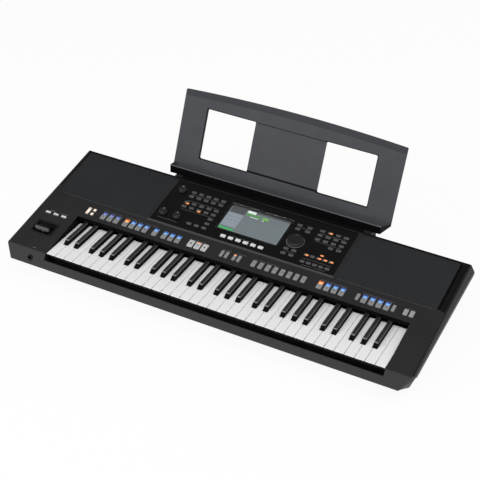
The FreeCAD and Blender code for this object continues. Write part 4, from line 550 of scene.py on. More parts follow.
# Painted shadow: thin dark lines beside the grilles and along the back of the deck.
SHADOW_LINE_SHADE = (0.006, 0.006, 0.0065)
SHADOW_LINES = (
    ((-0.5020, -0.4978), (0.225, 0.3625)),
    ((0.4965, 0.5075), (0.203, 0.3625)),
    ((-0.5085, -0.2435), (0.3612, 0.3690)),
    ((0.2435, 0.5085), (0.3612, 0.3690)),
)
# End walls: painted shade, over a black band of painted shadow and a foot of painted reflection.
SIDE_SHADE = (0.005, 0.005, 0.0052)
SIDE_FOOT_REFLECTION = (0.13, 0.13, 0.13)
SIDE_START = 0.5085
SIDE_FOOT = 0.011
SIDE_SHADOW_HEIGHT = 0.016

joints = {joint["name"]: joint for joint in frame["joints"]}
deck_out = -Vector(joints["style_buttons_press"]["axis"]).normalized()
deck_right = Vector((1, 0, 0))
deck_up = deck_out.cross(deck_right)
dial_middle = Vector(joints["data_dial_turn"]["pos_m"])
phones = next(mount for mount in frame["record"]["mounts"] if mount["name"] == "phones_socket")
front_out = Vector(phones["axis"]).normalized()
front_level = Vector((0, case_low.y, PARTING_FRONT)).dot(front_out)


def deck(x, run, lift):
    """A place on the sloping deck: x along the keys, the run up the slope, and the lift off it."""
    return dial_middle + deck_right * (x - DIAL_X) + deck_up * (run - DIAL_RUN) + deck_out * lift


deck_level = deck(0, 0, 0).dot(deck_out)
deck_start = deck(0, 0, 0).dot(deck_up)


def between(tree, direction, low, high):
    """1 where a point lies between two places along a direction."""
    reach = along(tree, direction)
    beyond = figured(tree, "MULTIPLY", reach, -1.0)
    return all_of(tree, [above(tree, reach, low), above(tree, beyond, -high)])


def deck_patch(sides, runs):
    """A patch of the deck between two x and two runs up the slope."""
    low, high = runs
    return lambda tree: all_of(tree, [
        between(tree, deck_right, *sides),
        between(tree, deck_up, deck_start + low, deck_start + high),
    ])


def deck_recess(tree):
    """Painted shade on the walls and floors of the openings below the deck."""
    return all_of(tree, [
        past(tree, -deck_out, -deck_level - RECESS_LIFT),
        deck_patch(RECESS_SIDES, RECESS_RUNS)(tree),
    ])


def panel_ridge(tree):
    """Painted highlight on the rib that stands up along the panel's front edge."""
    low, high = RIDGE_RUNS
    return all_of(tree, [
        past(tree, deck_out, deck_level + RIDGE_LIFT),
        between(tree, deck_up, deck_start + low, deck_start + high),
    ])


def rest_shelf(tree):
    """Painted shade on the shelf and block between the panel and the music rest, under the trough."""
    return all_of(tree, [
        past(tree, deck_up, deck_start + SHELF_RUN),
        past(tree, (0, -1, 0), -SHELF_BACK),
        between(tree, deck_right, -SHELF_HALF, SHELF_HALF),
    ])


def key_slip(tree):
    """The top and inner wall of the slip before the keys, which lie in the keys' shadow."""
    return all_of(tree, [
        past(tree, (0, -1, 0), -keys_low.y - SLIP_DEPTH),
        between(tree, deck_right, keys_low.x, keys_high.x),
    ])


def front_face(tree):
    """The leaning face along the whole front, which catches the light of the room."""
    return past(tree, front_out, front_level - FRONT_SKIN)


def side_wall(outward, height):
    """The end wall on one side, up to a height over the line where the two cases part."""
    return lambda tree: all_of(tree, [
        past(tree, outward, SIDE_START),
        past(tree, -parting_out, -parting_level - height),
    ])


case_areas = [
    (deck_recess, RECESS_SHADE), (panel_ridge, RIDGE_HIGHLIGHT), (rest_shelf, SHELF_SHADE),
    (key_slip, RECESS_SHADE), (front_face, FRONT_GREY),
]
for shadow_line in SHADOW_LINES:
    case_areas.append((deck_patch(*shadow_line), SHADOW_LINE_SHADE))
painted_side_bands = ((CASE_TALL, SIDE_SHADE), (SIDE_SHADOW_HEIGHT, RECESS_SHADE), (SIDE_FOOT, SIDE_FOOT_REFLECTION))
for outward in (deck_right, -deck_right):
    for height, colour in painted_side_bands:
        case_areas.append((side_wall(outward, height), colour))
dress(moulded("case_plastic", CASE_BLACK, MATT, areas=case_areas, shine=CASE_SHINE), "upper_case")


# Case screws: blackened steel tapping screws through the tub's floor into the upper case's bosses.
# Their heads are turned and carry a thin oil black.
SCREW_BLACK = (0.09, 0.09, 0.095)
SCREW_LINES = (900, 900, 900)

dress(drawn_metal("oil_black_steel", SCREW_BLACK, BRUSHED, SCREW_LINES), "case_screws")


# Speaker grilles: flat steel sheets with rows of fine punched holes, painted a cool matt black and
# let flush into the deck. The sound passes through the holes to the speakers below.
GRILLE_PAINT = (0.0305, 0.032, 0.0345)
PAINT_TONES = (0.95, 1.05)
# The holes are painted near black: the dark speaker behind them and painted shade inside.
HOLE_DARK_AND_SHADE = (0.006, 0.006, 0.0065)
HOLE_ROUGH = 0.9
HOLE_PITCH = 0.0022
HOLE_RADIUS = 0.0006
HOLE_RIM = 0.15
HOLE_DEPTH = 0.0006


def punched_holes(tree):
    """0 in a hole and 1 on the sheet; the holes sit in offset rows."""
    row = HOLE_PITCH * math.sqrt(3)
    ways = []
    for shift in (0.0, 0.5):
        step = stretched(tree, own_place(tree), (1 / HOLE_PITCH, 1 / row, 0), (shift, shift, 0))
        cell = figured(tree, "FRACTION", step)
        back = stretched(tree, cell, (HOLE_PITCH, row, 0), (-HOLE_PITCH / 2, -row / 2, 0))
        ways.append(figured(tree, "LENGTH", back))
    nearest = figured(tree, "MINIMUM", *ways)
    return spread(tree, nearest, 0.0, 1.0, (1 - HOLE_RIM) * HOLE_RADIUS, (1 + HOLE_RIM) * HOLE_RADIUS)


def punched_sheet():
    material, tree, shader = start_finish("punched_sheet", GRILLE_PAINT, DULL)
    holes = punched_holes(tree)
    paint = ramp(tree, grain(tree, MOTTLE_SIZE, MOTTLE_DETAIL), GRILLE_PAINT, PAINT_TONES)
    feed(tree, shader, {
        "Base Color": mixed(tree, holes, HOLE_DARK_AND_SHADE, paint),
        "Roughness": spread(tree, holes, HOLE_ROUGH, DULL),
        "Specular IOR Level": PLASTIC_SHINE,
    })
    relief(tree, shader, holes, HOLE_DEPTH)
    return material


dress(punched_sheet(), "left_speaker_grille", "right_speaker_grille")


# Joystick: a satin well let into the left cheek, a gimbal ring below it, and a lever whose finger
# bar lies across the well and springs back to the middle.
WELL_BLACK = (0.013, 0.013, 0.0135)
SLEEK = 0.35
# Painted shade: a black patch on the well's floor behind the finger bar.
WELL_SHADE = (0.002, 0.002, 0.002)
WELL_SHADE_SIDES = (-0.469, -0.430)
WELL_SHADE_RUNS = (0.056, 0.0915)
BAR_LIT = (0.10, 0.10, 0.101)
BAR_SHADE = (0.012, 0.012, 0.0125)
BAR_FACE = 0.0672
BAR_ROUGH = 0.38
BAR_WEAR = 1.3


def bar_back(tree):
    """Painted shade on the far half of the finger bar; the near half keeps a lighter grey as painted light."""
    return past(tree, deck_up, deck_start + BAR_FACE)


well_areas = [(deck_patch(WELL_SHADE_SIDES, WELL_SHADE_RUNS), WELL_SHADE)]
bar_areas = [(bar_back, BAR_SHADE)]
dress(moulded("well_satin", WELL_BLACK, SLEEK, SATIN_SKIN, areas=well_areas), "joystick_bezel")
dress(moulded("gimbal_nylon", NYLON_BLACK, HALF_MATT), "joystick_gimbal")
dress(moulded("bar_satin", BAR_LIT, BAR_ROUGH, SATIN_SKIN, BAR_WEAR, bar_areas), "joystick_lever")


# Switch boards and rotary controls: green laminate boards with square push switches under every
# button, and moulded pots under the knobs.
POT_BLACK = (0.03, 0.03, 0.032)

dress(green_board, "switch_boards")
dress(moulded("pot_plastic", POT_BLACK, MATT), "rotary_controls")


# Centre panel: a gloss black plate let into the deck, moulded in acrylic and polished, with the
# openings for the screen, buttons and knobs. Faint wiping marks show in its shine.
PANEL_BLACK = (0.0035, 0.0035, 0.004)
PANEL_TONES = (0.9, 1.2)
GLOSS = 0.14
GLOSS_ROUGHS = (0.1, 0.22)
GLOSS_SHINE = 0.13
WIPE_SIZE = 0.03
WIPE_DETAIL = 6.0
WIPE_SPAN = (0.3, 0.8)
WAVE_SKIN = (0.02, 0.00001)


def polished_acrylic():
    material, tree, shader = start_finish("panel_gloss", PANEL_BLACK, GLOSS)
    wipe = grain(tree, WIPE_SIZE, WIPE_DETAIL)
    feed(tree, shader, {
        "Base Color": ramp(tree, wipe, PANEL_BLACK, PANEL_TONES),
        "Roughness": spread(tree, wipe, *GLOSS_ROUGHS, *WIPE_SPAN),
        "Specular IOR Level": GLOSS_SHINE,
    })
    size, depth = WAVE_SKIN
    relief(tree, shader, grain(tree, size), depth)
    return material


dress(polished_acrylic(), "control_panel")


# Screen: a lit colour display under a sheet of clear glass. Its picture is a plain page with a
# column of boxes at the left, a title bar, and rows of light dots.
SCREEN_WIDTH = 0.1535
SCREEN_LENGTH = 0.086
SCREEN_FRONT = 0.248
SCREEN_BLACK = (0.01, 0.01, 0.01)
SCREEN_ROUGH = 0.3
PICTURE_LIFT = -0.0040
PICTURE_STEP = 0.00008
PICTURE_CORNER = 0.0003
PICTURE_EDGE = 0.00002
PIXEL_PITCH = 0.0002
PIXEL_SHADE = 0.96
PIXEL_GAP_SHADE = 0.8
PAGE_BLUE = (0.150, 0.182, 0.196)
DOT_BLUE = (0.172, 0.206, 0.221)
DOT_ROWS = 4
DOT_COLUMNS = 8
DOT_START = (0.3, 0.1)
DOT_STEP = (0.083, 0.15)
DOT_SIZE = (0.035, 0.055)
DOT_CORNER = 0.0004
LIT = 1.0
ARC_STEPS = 4
GLASS_CLEAR = (1.0, 1.0, 1.0)
GLASS_IOR = 1.3
GLASS_ROUGH = 0.03
GLASS_ROUGHS = (0.01, 0.07)
SMEAR_SIZE = 0.025
SMEAR_DETAIL = 5.0
SMEAR_SPAN = (0.35, 0.8)
MODULE_BLACK = (0.02, 0.02, 0.02)


def rounded_outline(x, run, width, length, corner):
    """Points round a rectangle with round corners."""
    points = []
    for across, ahead, start in ((1, 1, 0), (-1, 1, 90), (-1, -1, 180), (1, -1, 270)):
        for step in range(ARC_STEPS + 1):
            angle = math.radians(start + 90 * step / ARC_STEPS)
            side = x + across * (width / 2 - corner) + corner * math.cos(angle)
            far = run + ahead * (length / 2 - corner) + corner * math.sin(angle)
            points.append((side, far))
    return points


def add_stack(mesh, outlines, lifts):
    """One closed solid on the deck, through outlines of x and run at rising lifts."""
    rings = []
    for outline, lift in zip(outlines, lifts):
        rings.append([mesh.verts.new(deck(x, run, lift)) for x, run in outline])
    mesh.faces.new(rings[0][::-1])
    mesh.faces.new(rings[-1])
    count = len(rings[0])
    for lower, upper in zip(rings, rings[1:]):
        for i in range(count):
            after = (i + 1) % count
            mesh.faces.new((lower[i], lower[after], upper[after], upper[i]))


def add_slab(mesh, place, low, high, corner, edge):
    """A slab with round corners and a soft upper edge."""
    x, run, width, length = place
    outlines = []
    for inset in (0, 0, edge):
        bend = max(corner - inset, edge / 2)
        outlines.append(rounded_outline(x, run, width - 2 * inset, length - 2 * inset, bend))
    add_stack(mesh, outlines, (low, high - edge, high))


def slabs(name, places, low, high, corner, edge, material, body):
    """Slabs of one kind as one piece."""
    mesh = bmesh.new()
    for place in places:
        add_slab(mesh, place, low, high, corner, edge)
    ride_piece(mesh, name, material, body)


def screen_light(name, colour):
    """Lit screen surface with the fine grid of its dots."""
    material, tree, shader = start_finish(name, SCREEN_BLACK, SCREEN_ROUGH)
    dots = fields(tree, PIXEL_PITCH, colour, lighter(colour, PIXEL_SHADE), lighter(colour, PIXEL_GAP_SHADE))
    dots.offset = 0
    feed(tree, shader, {"Emission Color": dots.outputs["Color"], "Emission Strength": LIT})
    return material


def on_screen(left, right, front, back):
    """A patch of the picture, from shares of the screen's width and length."""
    x = (left + right - 1) / 2 * SCREEN_WIDTH
    run = SCREEN_FRONT + (front + back) / 2 * SCREEN_LENGTH
    return x, run, (right - left) * SCREEN_WIDTH, (back - front) * SCREEN_LENGTH


def picture_part(part, level, colour, patches, corner):
    """One colour of the picture, on a level of its own over the page."""
    name = "screen_" + part
    lift = PICTURE_LIFT + level * PICTURE_STEP
    places = [on_screen(*patch) for patch in patches]
    low = lift - PICTURE_STEP
    glow = screen_light(name, colour)
    slabs(name, places, low, lift, corner, PICTURE_EDGE, glow, "case")


picture = [
    ("page", PAGE_BLUE, [(0, 1, 0, 1)]),
    ("page_top", (0.055, 0.062, 0.068), [(0, 1, 0.93, 1)]),
    ("column_head", (0.06, 0.066, 0.072), [(0, 0.26, 0.72, 0.93)]),
    ("column_boxes", (0.26, 0.30, 0.34), [
        (0, 0.26, 0.56, 0.705), (0, 0.26, 0.42, 0.545), (0, 0.26, 0.15, 0.405),
    ]),
    ("column_foot", (0.04, 0.42, 0.11), [(0, 0.25, 0, 0.095)]),
    ("title", (0.82, 0.9, 0.84), [(0.28, 0.42, 0.86, 0.955)]),
    ("title_bar", (0.09, 0.32, 0.08), [(0.28, 0.52, 0.765, 0.85)]),
    ("value_bar", (0.18, 0.52, 0.06), [(0.56, 0.66, 0.76, 0.84)]),
    ("border", (0.30, 0.34, 0.35), [(0, 1, 0, 0.012), (0.993, 1, 0, 0.93), (0, 0.007, 0.1, 0.93)]),
    ("value_mark", (0.6, 0.66, 0.66), [(0.57, 0.6, 0.69, 0.73), (0.36, 0.5, 0.71, 0.74)]),
]
for level, (part, colour, patches) in enumerate(picture):
    picture_part(part, level, colour, patches, PICTURE_CORNER)
dot_patches = []
for row in range(DOT_ROWS):
    for column in range(DOT_COLUMNS):
        left = DOT_START[0] + DOT_STEP[0] * column
        rise = DOT_STEP[1] * row
        dot_patches.append((left, left + DOT_SIZE[0], DOT_START[1] + rise, DOT_START[1] + DOT_SIZE[1] + rise))
picture_part("rows", len(picture), DOT_BLUE, dot_patches, DOT_CORNER)


def clear_glass():
    material, tree, shader = start_finish("clear_glass", GLASS_CLEAR, GLASS_ROUGH)
    rough = spread(tree, grain(tree, SMEAR_SIZE, SMEAR_DETAIL), *GLASS_ROUGHS, *SMEAR_SPAN)
    feed(tree, shader, {"Roughness": rough, "IOR": GLASS_IOR, "Transmission Weight": 1})
    return material


dress(moulded("module_plastic", MODULE_BLACK, MATT), "display_module")
dress(clear_glass(), "display_glass")


# Panel buttons: short dark keycaps in rows at both sides of the screen, moulded in satin plastic,
# with six pale ones below the screen. Lit lamps shine orange through a few of them.
CAP_DARK = (0.075, 0.075, 0.076)
# The dark caps' edges are lightened as a painted highlight.
DARK_CAP_HIGHLIGHT = 2.6
CAP_PALE = (0.64, 0.65, 0.65)
BUTTON_PROUD = 0.0022
PANEL_SINK = 0.0012
PANEL_LENS = (0.0088, 0.0048)
LENS_THICK = 0.0004
LENS_PROUD = 0.0001
LENS_CORNER = 0.0008
LENS_EDGE = 0.0001
LENS_BODY = 0.3
LENS_ROUGH = 0.25
LENS_CLOUD = 0.004
LENS_TONES = (0.8, 1.0)
SPOT_WIDTH = 0.72
SPOT_LENGTH = 0.56
SPOT_PROUD = 0.0002
SPOT_CORNER = 0.0004
LAMP_ORANGE = (0.50, 0.10, 0.015)
ORANGE_CORE = (1.0, 0.50, 0.19)


def lens(name, colour):
    """A clear window over a lamp, a little uneven where the light comes through the moulding."""
    material, tree, shader = start_finish(name, lighter(colour, LENS_BODY), LENS_ROUGH)
    glow = ramp(tree, grain(tree, LENS_CLOUD), colour, LENS_TONES)
    feed(tree, shader, {"Emission Color": glow, "Emission Strength": LIT})
    return material


def lamp_pair(name, colour, core):
    """The finishes of a lamp's window and of the paler spot in it."""
    return lens(name + "_window", colour), lens(name + "_spot", core)


def lamps(name, places, top, pair, nearer, body):
    """Lamp windows in caps, each with the spot of its lamp, nearer to the player by a share."""
    window, core = pair
    low = top - LENS_THICK
    slabs(name, places, low, top + LENS_PROUD, LENS_CORNER, LENS_EDGE, window, body)
    spots = []
    for x, run, width, length in places:
        spots.append((x, run - nearer * length, SPOT_WIDTH * width, SPOT_LENGTH * length))
    slabs(name + "_spots", spots, low, top + SPOT_PROUD, SPOT_CORNER, LENS_EDGE, core, body)


dark_cap = moulded("dark_cap", CAP_DARK, SATIN, SATIN_SKIN, DARK_CAP_HIGHLIGHT)
dress(dark_cap, "left_panel_buttons", "right_panel_buttons")
dress(moulded("pale_cap", CAP_PALE, SATIN, SATIN_SKIN, LIGHT_WEAR), "screen_buttons")
orange = lamp_pair("orange", LAMP_ORANGE, ORANGE_CORE)
lit_left = [(-0.1795, 0.289), (-0.1405, 0.274)]
lit_right = [(0.1805, 0.3315), (0.158, 0.244), (0.190, 0.244), (0.2045, 0.2445), (0.220, 0.2445)]
for side, lit in (("left", lit_left), ("right", lit_right)):
    places = [(x, run, *PANEL_LENS) for x, run in lit]
    body = side + "_panel_buttons"
    lamps(side + "_panel_lamps", places, BUTTON_PROUD - PANEL_SINK, orange, 0, body)
lamps("panel_lamp", [(0.190, 0.2575, *PANEL_LENS)], -PANEL_SINK, orange, 0, "case")


# Printed rules: fine grey lines screened on the panel and the deck, over groups of buttons. The lines
# before the grilles are a painted highlight on the deck's edge. The ink is flat and slightly raised.
INK_GREY = (0.16, 0.16, 0.158)
INK_THICK = 0.0001
GRILLE_HIGHLIGHT_GREY = (0.045, 0.046, 0.047)
RULE_WIDTH = 0.0007
WING_RULE_WIDTH = 0.0013
GRILLE_HIGHLIGHT_WIDTH = 0.002


def print_ink(name, colour):
    return moulded(name, colour, DULL, SATIN_SKIN, NO_WEAR)


rule_ink = print_ink("rule_ink", INK_GREY)
grille_highlight_paint = print_ink("grille_highlight_paint", GRILLE_HIGHLIGHT_GREY)
strip_rules = [
    (-0.324, 0.1865, 0.050), (-0.245, 0.1865, 0.086), (-0.087, 0.1842, 0.030), (0.020, 0.1842, 0.024),
    (-0.015, 0.1842, 0.022), (0.085, 0.1838, 0.062), (0.252, 0.1865, 0.066), (0.359, 0.1865, 0.076),
    (0.437, 0.1825, 0.024),
]
wing_rules = [(-0.467, 0.1345, 0.014), (-0.434, 0.1345, 0.020), (-0.4365, 0.008, 0.009)]
grille_rules = [(-0.362, 0.2028, 0.232), (0.366, 0.2028, 0.232)]
panel_rules = [
    (-0.198, 0.2225, 0.052), (-0.143, 0.3245, 0.086), (-0.143, 0.3015, 0.086), (-0.143, 0.2695, 0.086),
    (0.188, 0.3245, 0.066), (0.188, 0.2955, 0.066), (0.187, 0.2335, 0.070), (0.187, 0.2135, 0.060),
    (0.114, 0.3235, 0.034), (0.114, 0.238, 0.026), (0.0, 0.2325, 0.060),
]
for name, rules, wide, level, node, ink in (
    ("strip_rules", strip_rules, RULE_WIDTH, 0.0, "upper_case", rule_ink),
    ("wing_rules", wing_rules, WING_RULE_WIDTH, 0.0, "upper_case", rule_ink),
    ("grille_rules", grille_rules, GRILLE_HIGHLIGHT_WIDTH, 0.0, "upper_case", grille_highlight_paint),
    ("panel_rules", panel_rules, RULE_WIDTH, -PANEL_SINK, "control_panel", rule_ink),
):
    places = [(x, run, width, wide) for x, run, width in rules]
    slabs(name, places, level - INK_THICK, level + INK_THICK, wide / 3, INK_THICK / 2, ink, "case")


# Knobs and data dial: black satin caps on steel shafts, each with a ring of fine ribs for the
# fingers. The small knobs carry a white line, and the wide dial sits in a thin satin trim ring.
KNOB_BLACK = (0.007, 0.007, 0.0075)
KNOB_ROUGH = 0.3
KNOB_SHINE = 0.4
# The knobs' edges are lightened strongly, as a painted highlight on their rims.
KNOB_RIM_HIGHLIGHT = 14.0
KNOB_RADIUS = 0.0095
KNOB_HEIGHT = 0.008
KNOB_FOOT = -0.0004
KNOB_TAPER = 0.001
LINE_WHITE = (0.75, 0.75, 0.74)
LINE_WIDTH = 0.0009
LINE_LENGTH = KNOB_RADIUS / 2 - KNOB_TAPER
LINE_START = KNOB_RADIUS / 3
LINE_CORNER = LINE_WIDTH / 4
LINE_SINK = KNOB_TAPER / 2
DIAL_RADIUS = 0.020
DIAL_HEIGHT = 0.007
RIB_LOW = 0.1
RIB_HIGH = 0.78
RIB_PITCH = 0.0017
RIB_PROUD = 0.0003
RING_GREY = (0.11, 0.11, 0.112)
RING_SHINE = 0.5
RING_WEAR = 1.5
RING_GAP = 0.0008
RING_WIDTH = 0.0011
RING_STEPS = 96

deck_axes = (deck_right, deck_up, deck_out)


def ribbed_grip(name, radius, height, material):
    """Fine ribs round a knob's side, leaning in to the crown as the knob does."""
    low = KNOB_FOOT + RIB_LOW * height
    high = KNOB_FOOT + RIB_HIGH * height
    inner = radius - 2 * KNOB_TAPER
    wide = radius - RIB_LOW * KNOB_TAPER
    slim = radius - RIB_HIGH * KNOB_TAPER
    profile = [
        (inner, low, 0), (wide, low, 1), (slim, high, 1), (slim - RIB_PROUD, high + RIB_PROUD, 0),
        (inner, high, 0),
    ]
    steps = RIB_STEPS * round(2 * math.pi * radius / RIB_PITCH)
    mesh = bmesh.new()
    add_ring(mesh, Vector(joints[name + "_turn"]["pos_m"]), deck_axes, profile, steps, RIB_PROUD)
    ride_piece(mesh, name + "_ribs", material, name)


knob_satin = moulded("knob_satin", KNOB_BLACK, KNOB_ROUGH, SATIN_SKIN, KNOB_RIM_HIGHLIGHT, shine=KNOB_SHINE)
line_paint = moulded("line_paint", LINE_WHITE, MATT, SATIN_SKIN, NO_WEAR)
small_knobs = ("master_volume_knob", "left_live_knob", "right_live_knob")
dress(knob_satin, *small_knobs, "data_dial")
knob_top = KNOB_FOOT + KNOB_HEIGHT
for name in small_knobs:
    ribbed_grip(name, KNOB_RADIUS, KNOB_HEIGHT, knob_satin)
    middle = Vector(joints[name + "_turn"]["pos_m"]) - deck(0, 0, 0)
    run = middle.dot(deck_up) + LINE_START + LINE_LENGTH / 2
    line = (middle.dot(deck_right), run, LINE_WIDTH, LINE_LENGTH)
    low = knob_top - LINE_SINK
    slabs(name + "_line", [line], low, knob_top, LINE_CORNER, INK_THICK, line_paint, name)
ribbed_grip("data_dial", DIAL_RADIUS, DIAL_HEIGHT, knob_satin)
trim = bmesh.new()
inside = DIAL_RADIUS + RING_GAP
outside = inside + RING_WIDTH
trim_foot = -PANEL_SINK - INK_THICK
trim_profile = [
    (inside, trim_foot, 0), (outside, trim_foot, 0),
    (outside, -PANEL_SINK / 2, 0), (inside, -PANEL_SINK / 4, 0),
]
add_ring(trim, dial_middle, deck_axes, trim_profile, RING_STEPS)
ring_satin = moulded("ring_satin", RING_GREY, SLEEK, SATIN_SKIN, RING_WEAR, shine=RING_SHINE)
ride_piece(trim, "dial_trim_ring", ring_satin, "case")


# Strip buttons: the long row before the panel. Their caps are satin grey, and each style, one-touch
# and pad button carries a lamp window on its far part; playback caps are paler, and bear plain signs.
STRIP_ROW = 0.169
STRIP_PITCH = 0.0179
INTRO_START = -0.342
MAIN_START = -0.281
BREAK_START = -0.2006
ENDING_START = -0.175
PLAYBACK_START = -0.105
PLAYBACK_END = -0.045
REGISTRATION_START = 0.0588
TOUCH_START = 0.2247
PAD_START = 0.3321
CAP_ROUGH = 0.42
CAP_MIDDLE = (0.235, 0.235, 0.236)
STRIP_CAPS = (
    ("grey_cap", (0.235, 0.235, 0.238), 1.2, ("style_buttons", "pad_buttons")),
    ("middle_cap", CAP_MIDDLE, 1.25, ("registration_buttons",)),
    ("octave_cap", (0.31, 0.31, 0.311), 1.3, ("octave_buttons",)),
)
CAP_SILVER = (0.46, 0.46, 0.462)
SILVER_WEAR = 1.15
WIDE_LENS = (0.0114, 0.0105)
WIDE_LENS_SETOFF = 0.0062
SPOT_NEARER = 0.18
LAMP_BLUE = (0.025, 0.075, 0.30)
BLUE_CORE = (0.20, 0.42, 0.76)
LAMP_VIOLET = (0.03, 0.04, 0.17)
VIOLET_CORE = (0.19, 0.25, 0.52)
LAMP_WARM = (0.66, 0.50, 0.38)
WARM_CORE = (0.93, 0.85, 0.77)
SIGN_DARK = (0.05, 0.05, 0.052)
SIGN_SIZE = 0.0042
SIGN_STEP = 20
NUMBER_SIZE = 0.0068
NUMBER_ROW = 0.1645
NUMBER_BENDS = 3


def past_playback(tree):
    """The slim tempo and transpose caps, right of the playback ones."""
    return past(tree, deck_right, PLAYBACK_END)


for name, colour, wear_and_highlight, nodes in STRIP_CAPS:
    dress(moulded(name, colour, CAP_ROUGH, SATIN_SKIN, wear_and_highlight), *nodes)
slim_areas = [(past_playback, CAP_MIDDLE)]
silver_cap = moulded("silver_cap", CAP_SILVER, SATIN, SATIN_SKIN, SILVER_WEAR, slim_areas)
dress(silver_cap, "transport_buttons")
blue = lamp_pair("blue", LAMP_BLUE, BLUE_CORE)
violet = lamp_pair("violet", LAMP_VIOLET, VIOLET_CORE)
warm = lamp_pair("warm", LAMP_WARM, WARM_CORE)


def strip_run(start, count):
    """Middles of the lamp windows in a run of wide buttons."""
    return [(start + i * STRIP_PITCH, STRIP_ROW + WIDE_LENS_SETOFF, *WIDE_LENS) for i in range(count)]


for name, places, pair, body in (
    ("intro_lamps", strip_run(INTRO_START, 3), violet, "style_buttons"),
    ("main_lamp", strip_run(MAIN_START, 1), orange, "style_buttons"),
    ("main_lamps", strip_run(MAIN_START + STRIP_PITCH, 3), blue, "style_buttons"),
    ("break_lamp", strip_run(BREAK_START, 1), blue, "style_buttons"),
    ("ending_lamps", strip_run(ENDING_START, 3), blue, "style_buttons"),
    ("one_touch_lamp", strip_run(TOUCH_START, 1), orange, "pad_buttons"),
    ("one_touch_lamps", strip_run(TOUCH_START + STRIP_PITCH, 3), blue, "pad_buttons"),
    ("pad_lamps", strip_run(PAD_START, 4), blue, "pad_buttons"),
    ("play_lamp", [(-0.0871, 0.1775, 0.009, 0.0035)], orange, "transport_buttons"),
    ("transpose_lamp", [(0.0086, 0.1755, 0.0062, 0.0048)], orange, "transport_buttons"),
):
    lamps(name, places, BUTTON_PROUD, pair, SPOT_NEARER, body)
warm_caps = [
    (-0.386, STRIP_ROW, 0.0075, 0.022), (-0.3725, 0.162, 0.007, 0.008), (-0.3725, 0.176, 0.007, 0.008),
]
lamps("start_lamps", warm_caps, BUTTON_PROUD, warm, 0, "style_buttons")


def add_number(mesh, number, x, run, lift):
    """A plain number, standing upright to the player, from the built-in outline letters."""
    figure = bpy.data.curves.new("figure", "FONT")
    figure.body = str(number)
    figure.size = NUMBER_SIZE
    figure.resolution_u = NUMBER_BENDS
    figure.extrude = INK_THICK
    figure.align_x = "CENTER"
    figure.align_y = "CENTER"
    holder = bpy.data.objects.new("figure", figure)
    shape = bpy.data.meshes.new_from_object(holder)
    turn = Matrix(deck_axes).transposed().to_4x4()
    shape.transform(Matrix.Translation(deck(x, run, lift)) @ turn)
    mesh.from_mesh(shape)
    bpy.data.objects.remove(holder)
    bpy.data.curves.remove(figure)
    bpy.data.meshes.remove(shape)


sign_ink = print_ink("sign_ink", SIGN_DARK)
numbered = (
    ("registration_buttons", STRIP_ROW, [(REGISTRATION_START, 8)]),
    ("style_buttons", NUMBER_ROW, [(INTRO_START, 3), (MAIN_START, 4), (ENDING_START, 3)]),
    ("pad_buttons", NUMBER_ROW, [(TOUCH_START, 4), (PAD_START, 4)]),
)
for body, run, groups in numbered:
    mesh = bmesh.new()
    for start, count in groups:
        for i in range(count):
            add_number(mesh, i + 1, start + i * STRIP_PITCH, run, BUTTON_PROUD)
    ride_piece(mesh, body + "_numbers", sign_ink, body)
signs = bmesh.new()
half = SIGN_SIZE / 2
stop, play, record = (PLAYBACK_START + i * STRIP_PITCH for i in range(3))
near, far = STRIP_ROW - half, STRIP_ROW + half
disc = []
for degrees in range(0, 360, SIGN_STEP):
    angle = math.radians(degrees)
    disc.append((record + half * math.cos(angle), STRIP_ROW + half * math.sin(angle)))
for outline in (
    [(stop - half, near), (stop + half, near), (stop + half, far), (stop - half, far)],
    [(play - half, near), (play + half, STRIP_ROW), (play - half, far)],
    disc,
):
    add_stack(signs, (outline, outline), (BUTTON_PROUD - INK_THICK, BUTTON_PROUD + INK_THICK))
ride_piece(signs, "playback_signs", sign_ink, "transport_buttons")


# Wing buttons: three pale silver caps in a row above the joystick, moulded and painted.
# They lie across the left cheek and press straight down.
CAP_WING = (0.66, 0.65, 0.65)
WING_FOOT = (0.12, 0.12, 0.12)
WING_STEP = 0.1232


def wing_foot(tree):
    """The near edge of each cap, below the step that the finger finds."""
    return past(tree, -deck_up, -deck_start - WING_STEP)


wing_areas = [(wing_foot, WING_FOOT)]
dress(moulded("wing_cap", CAP_WING, SATIN, SATIN_SKIN, LIGHT_WEAR, wing_areas), "wing_buttons")


# Music rest: a plate with two windows that stands in the block behind the panel on three tabs, with
# a trough for the sheets at its foot. Its middle plate is a separate satin moulding.
REST_GREY = (0.062, 0.064, 0.070)
REST_PANEL_GREY = (0.063, 0.0645, 0.071)
REST_BAND_SHADE = (0.044, 0.0455, 0.050)
REST_SHINE = 0.05
REST_CUT_SHADE = (0.006, 0.006, 0.0065)
REST_FOOT = Vector((0, 0.18043, 0.1385))
REST_TILT = math.radians(20.1)
REST_HALF = 0.2918
REST_HEIGHT = 0.191
REST_ARCH = 0.0095
BAND_WIDTH = 0.016
CUT_LOW = 0.0008
CUT_HIGH = 0.0055
WINDOW_SIDES = (0.0939, 0.2251)
WINDOW_RISES = (0.0287, 0.1552)
WINDOW_RIM = 0.002
TROUGH_SHADE = (0.0025, 0.0025, 0.003)
TROUGH_FRONT = 0.1427
TROUGH_HALF = 0.281
TROUGH_FLARE = 0.241
TROUGH_TOP = 0.153
TROUGH_LIP_HIGHLIGHT = (0.13, 0.132, 0.138)
TROUGH_LIP_TOP = 0.1541
TROUGH_LIP_BACK = 0.1459
PLATE_LINE = 0.0035

rest_up = Vector((0, math.sin(REST_TILT), math.cos(REST_TILT)))
rest_out = Vector((0, -math.cos(REST_TILT), math.sin(REST_TILT)))
rest_start = REST_FOOT.dot(rest_up)
rest_level = REST_FOOT.dot(rest_out)


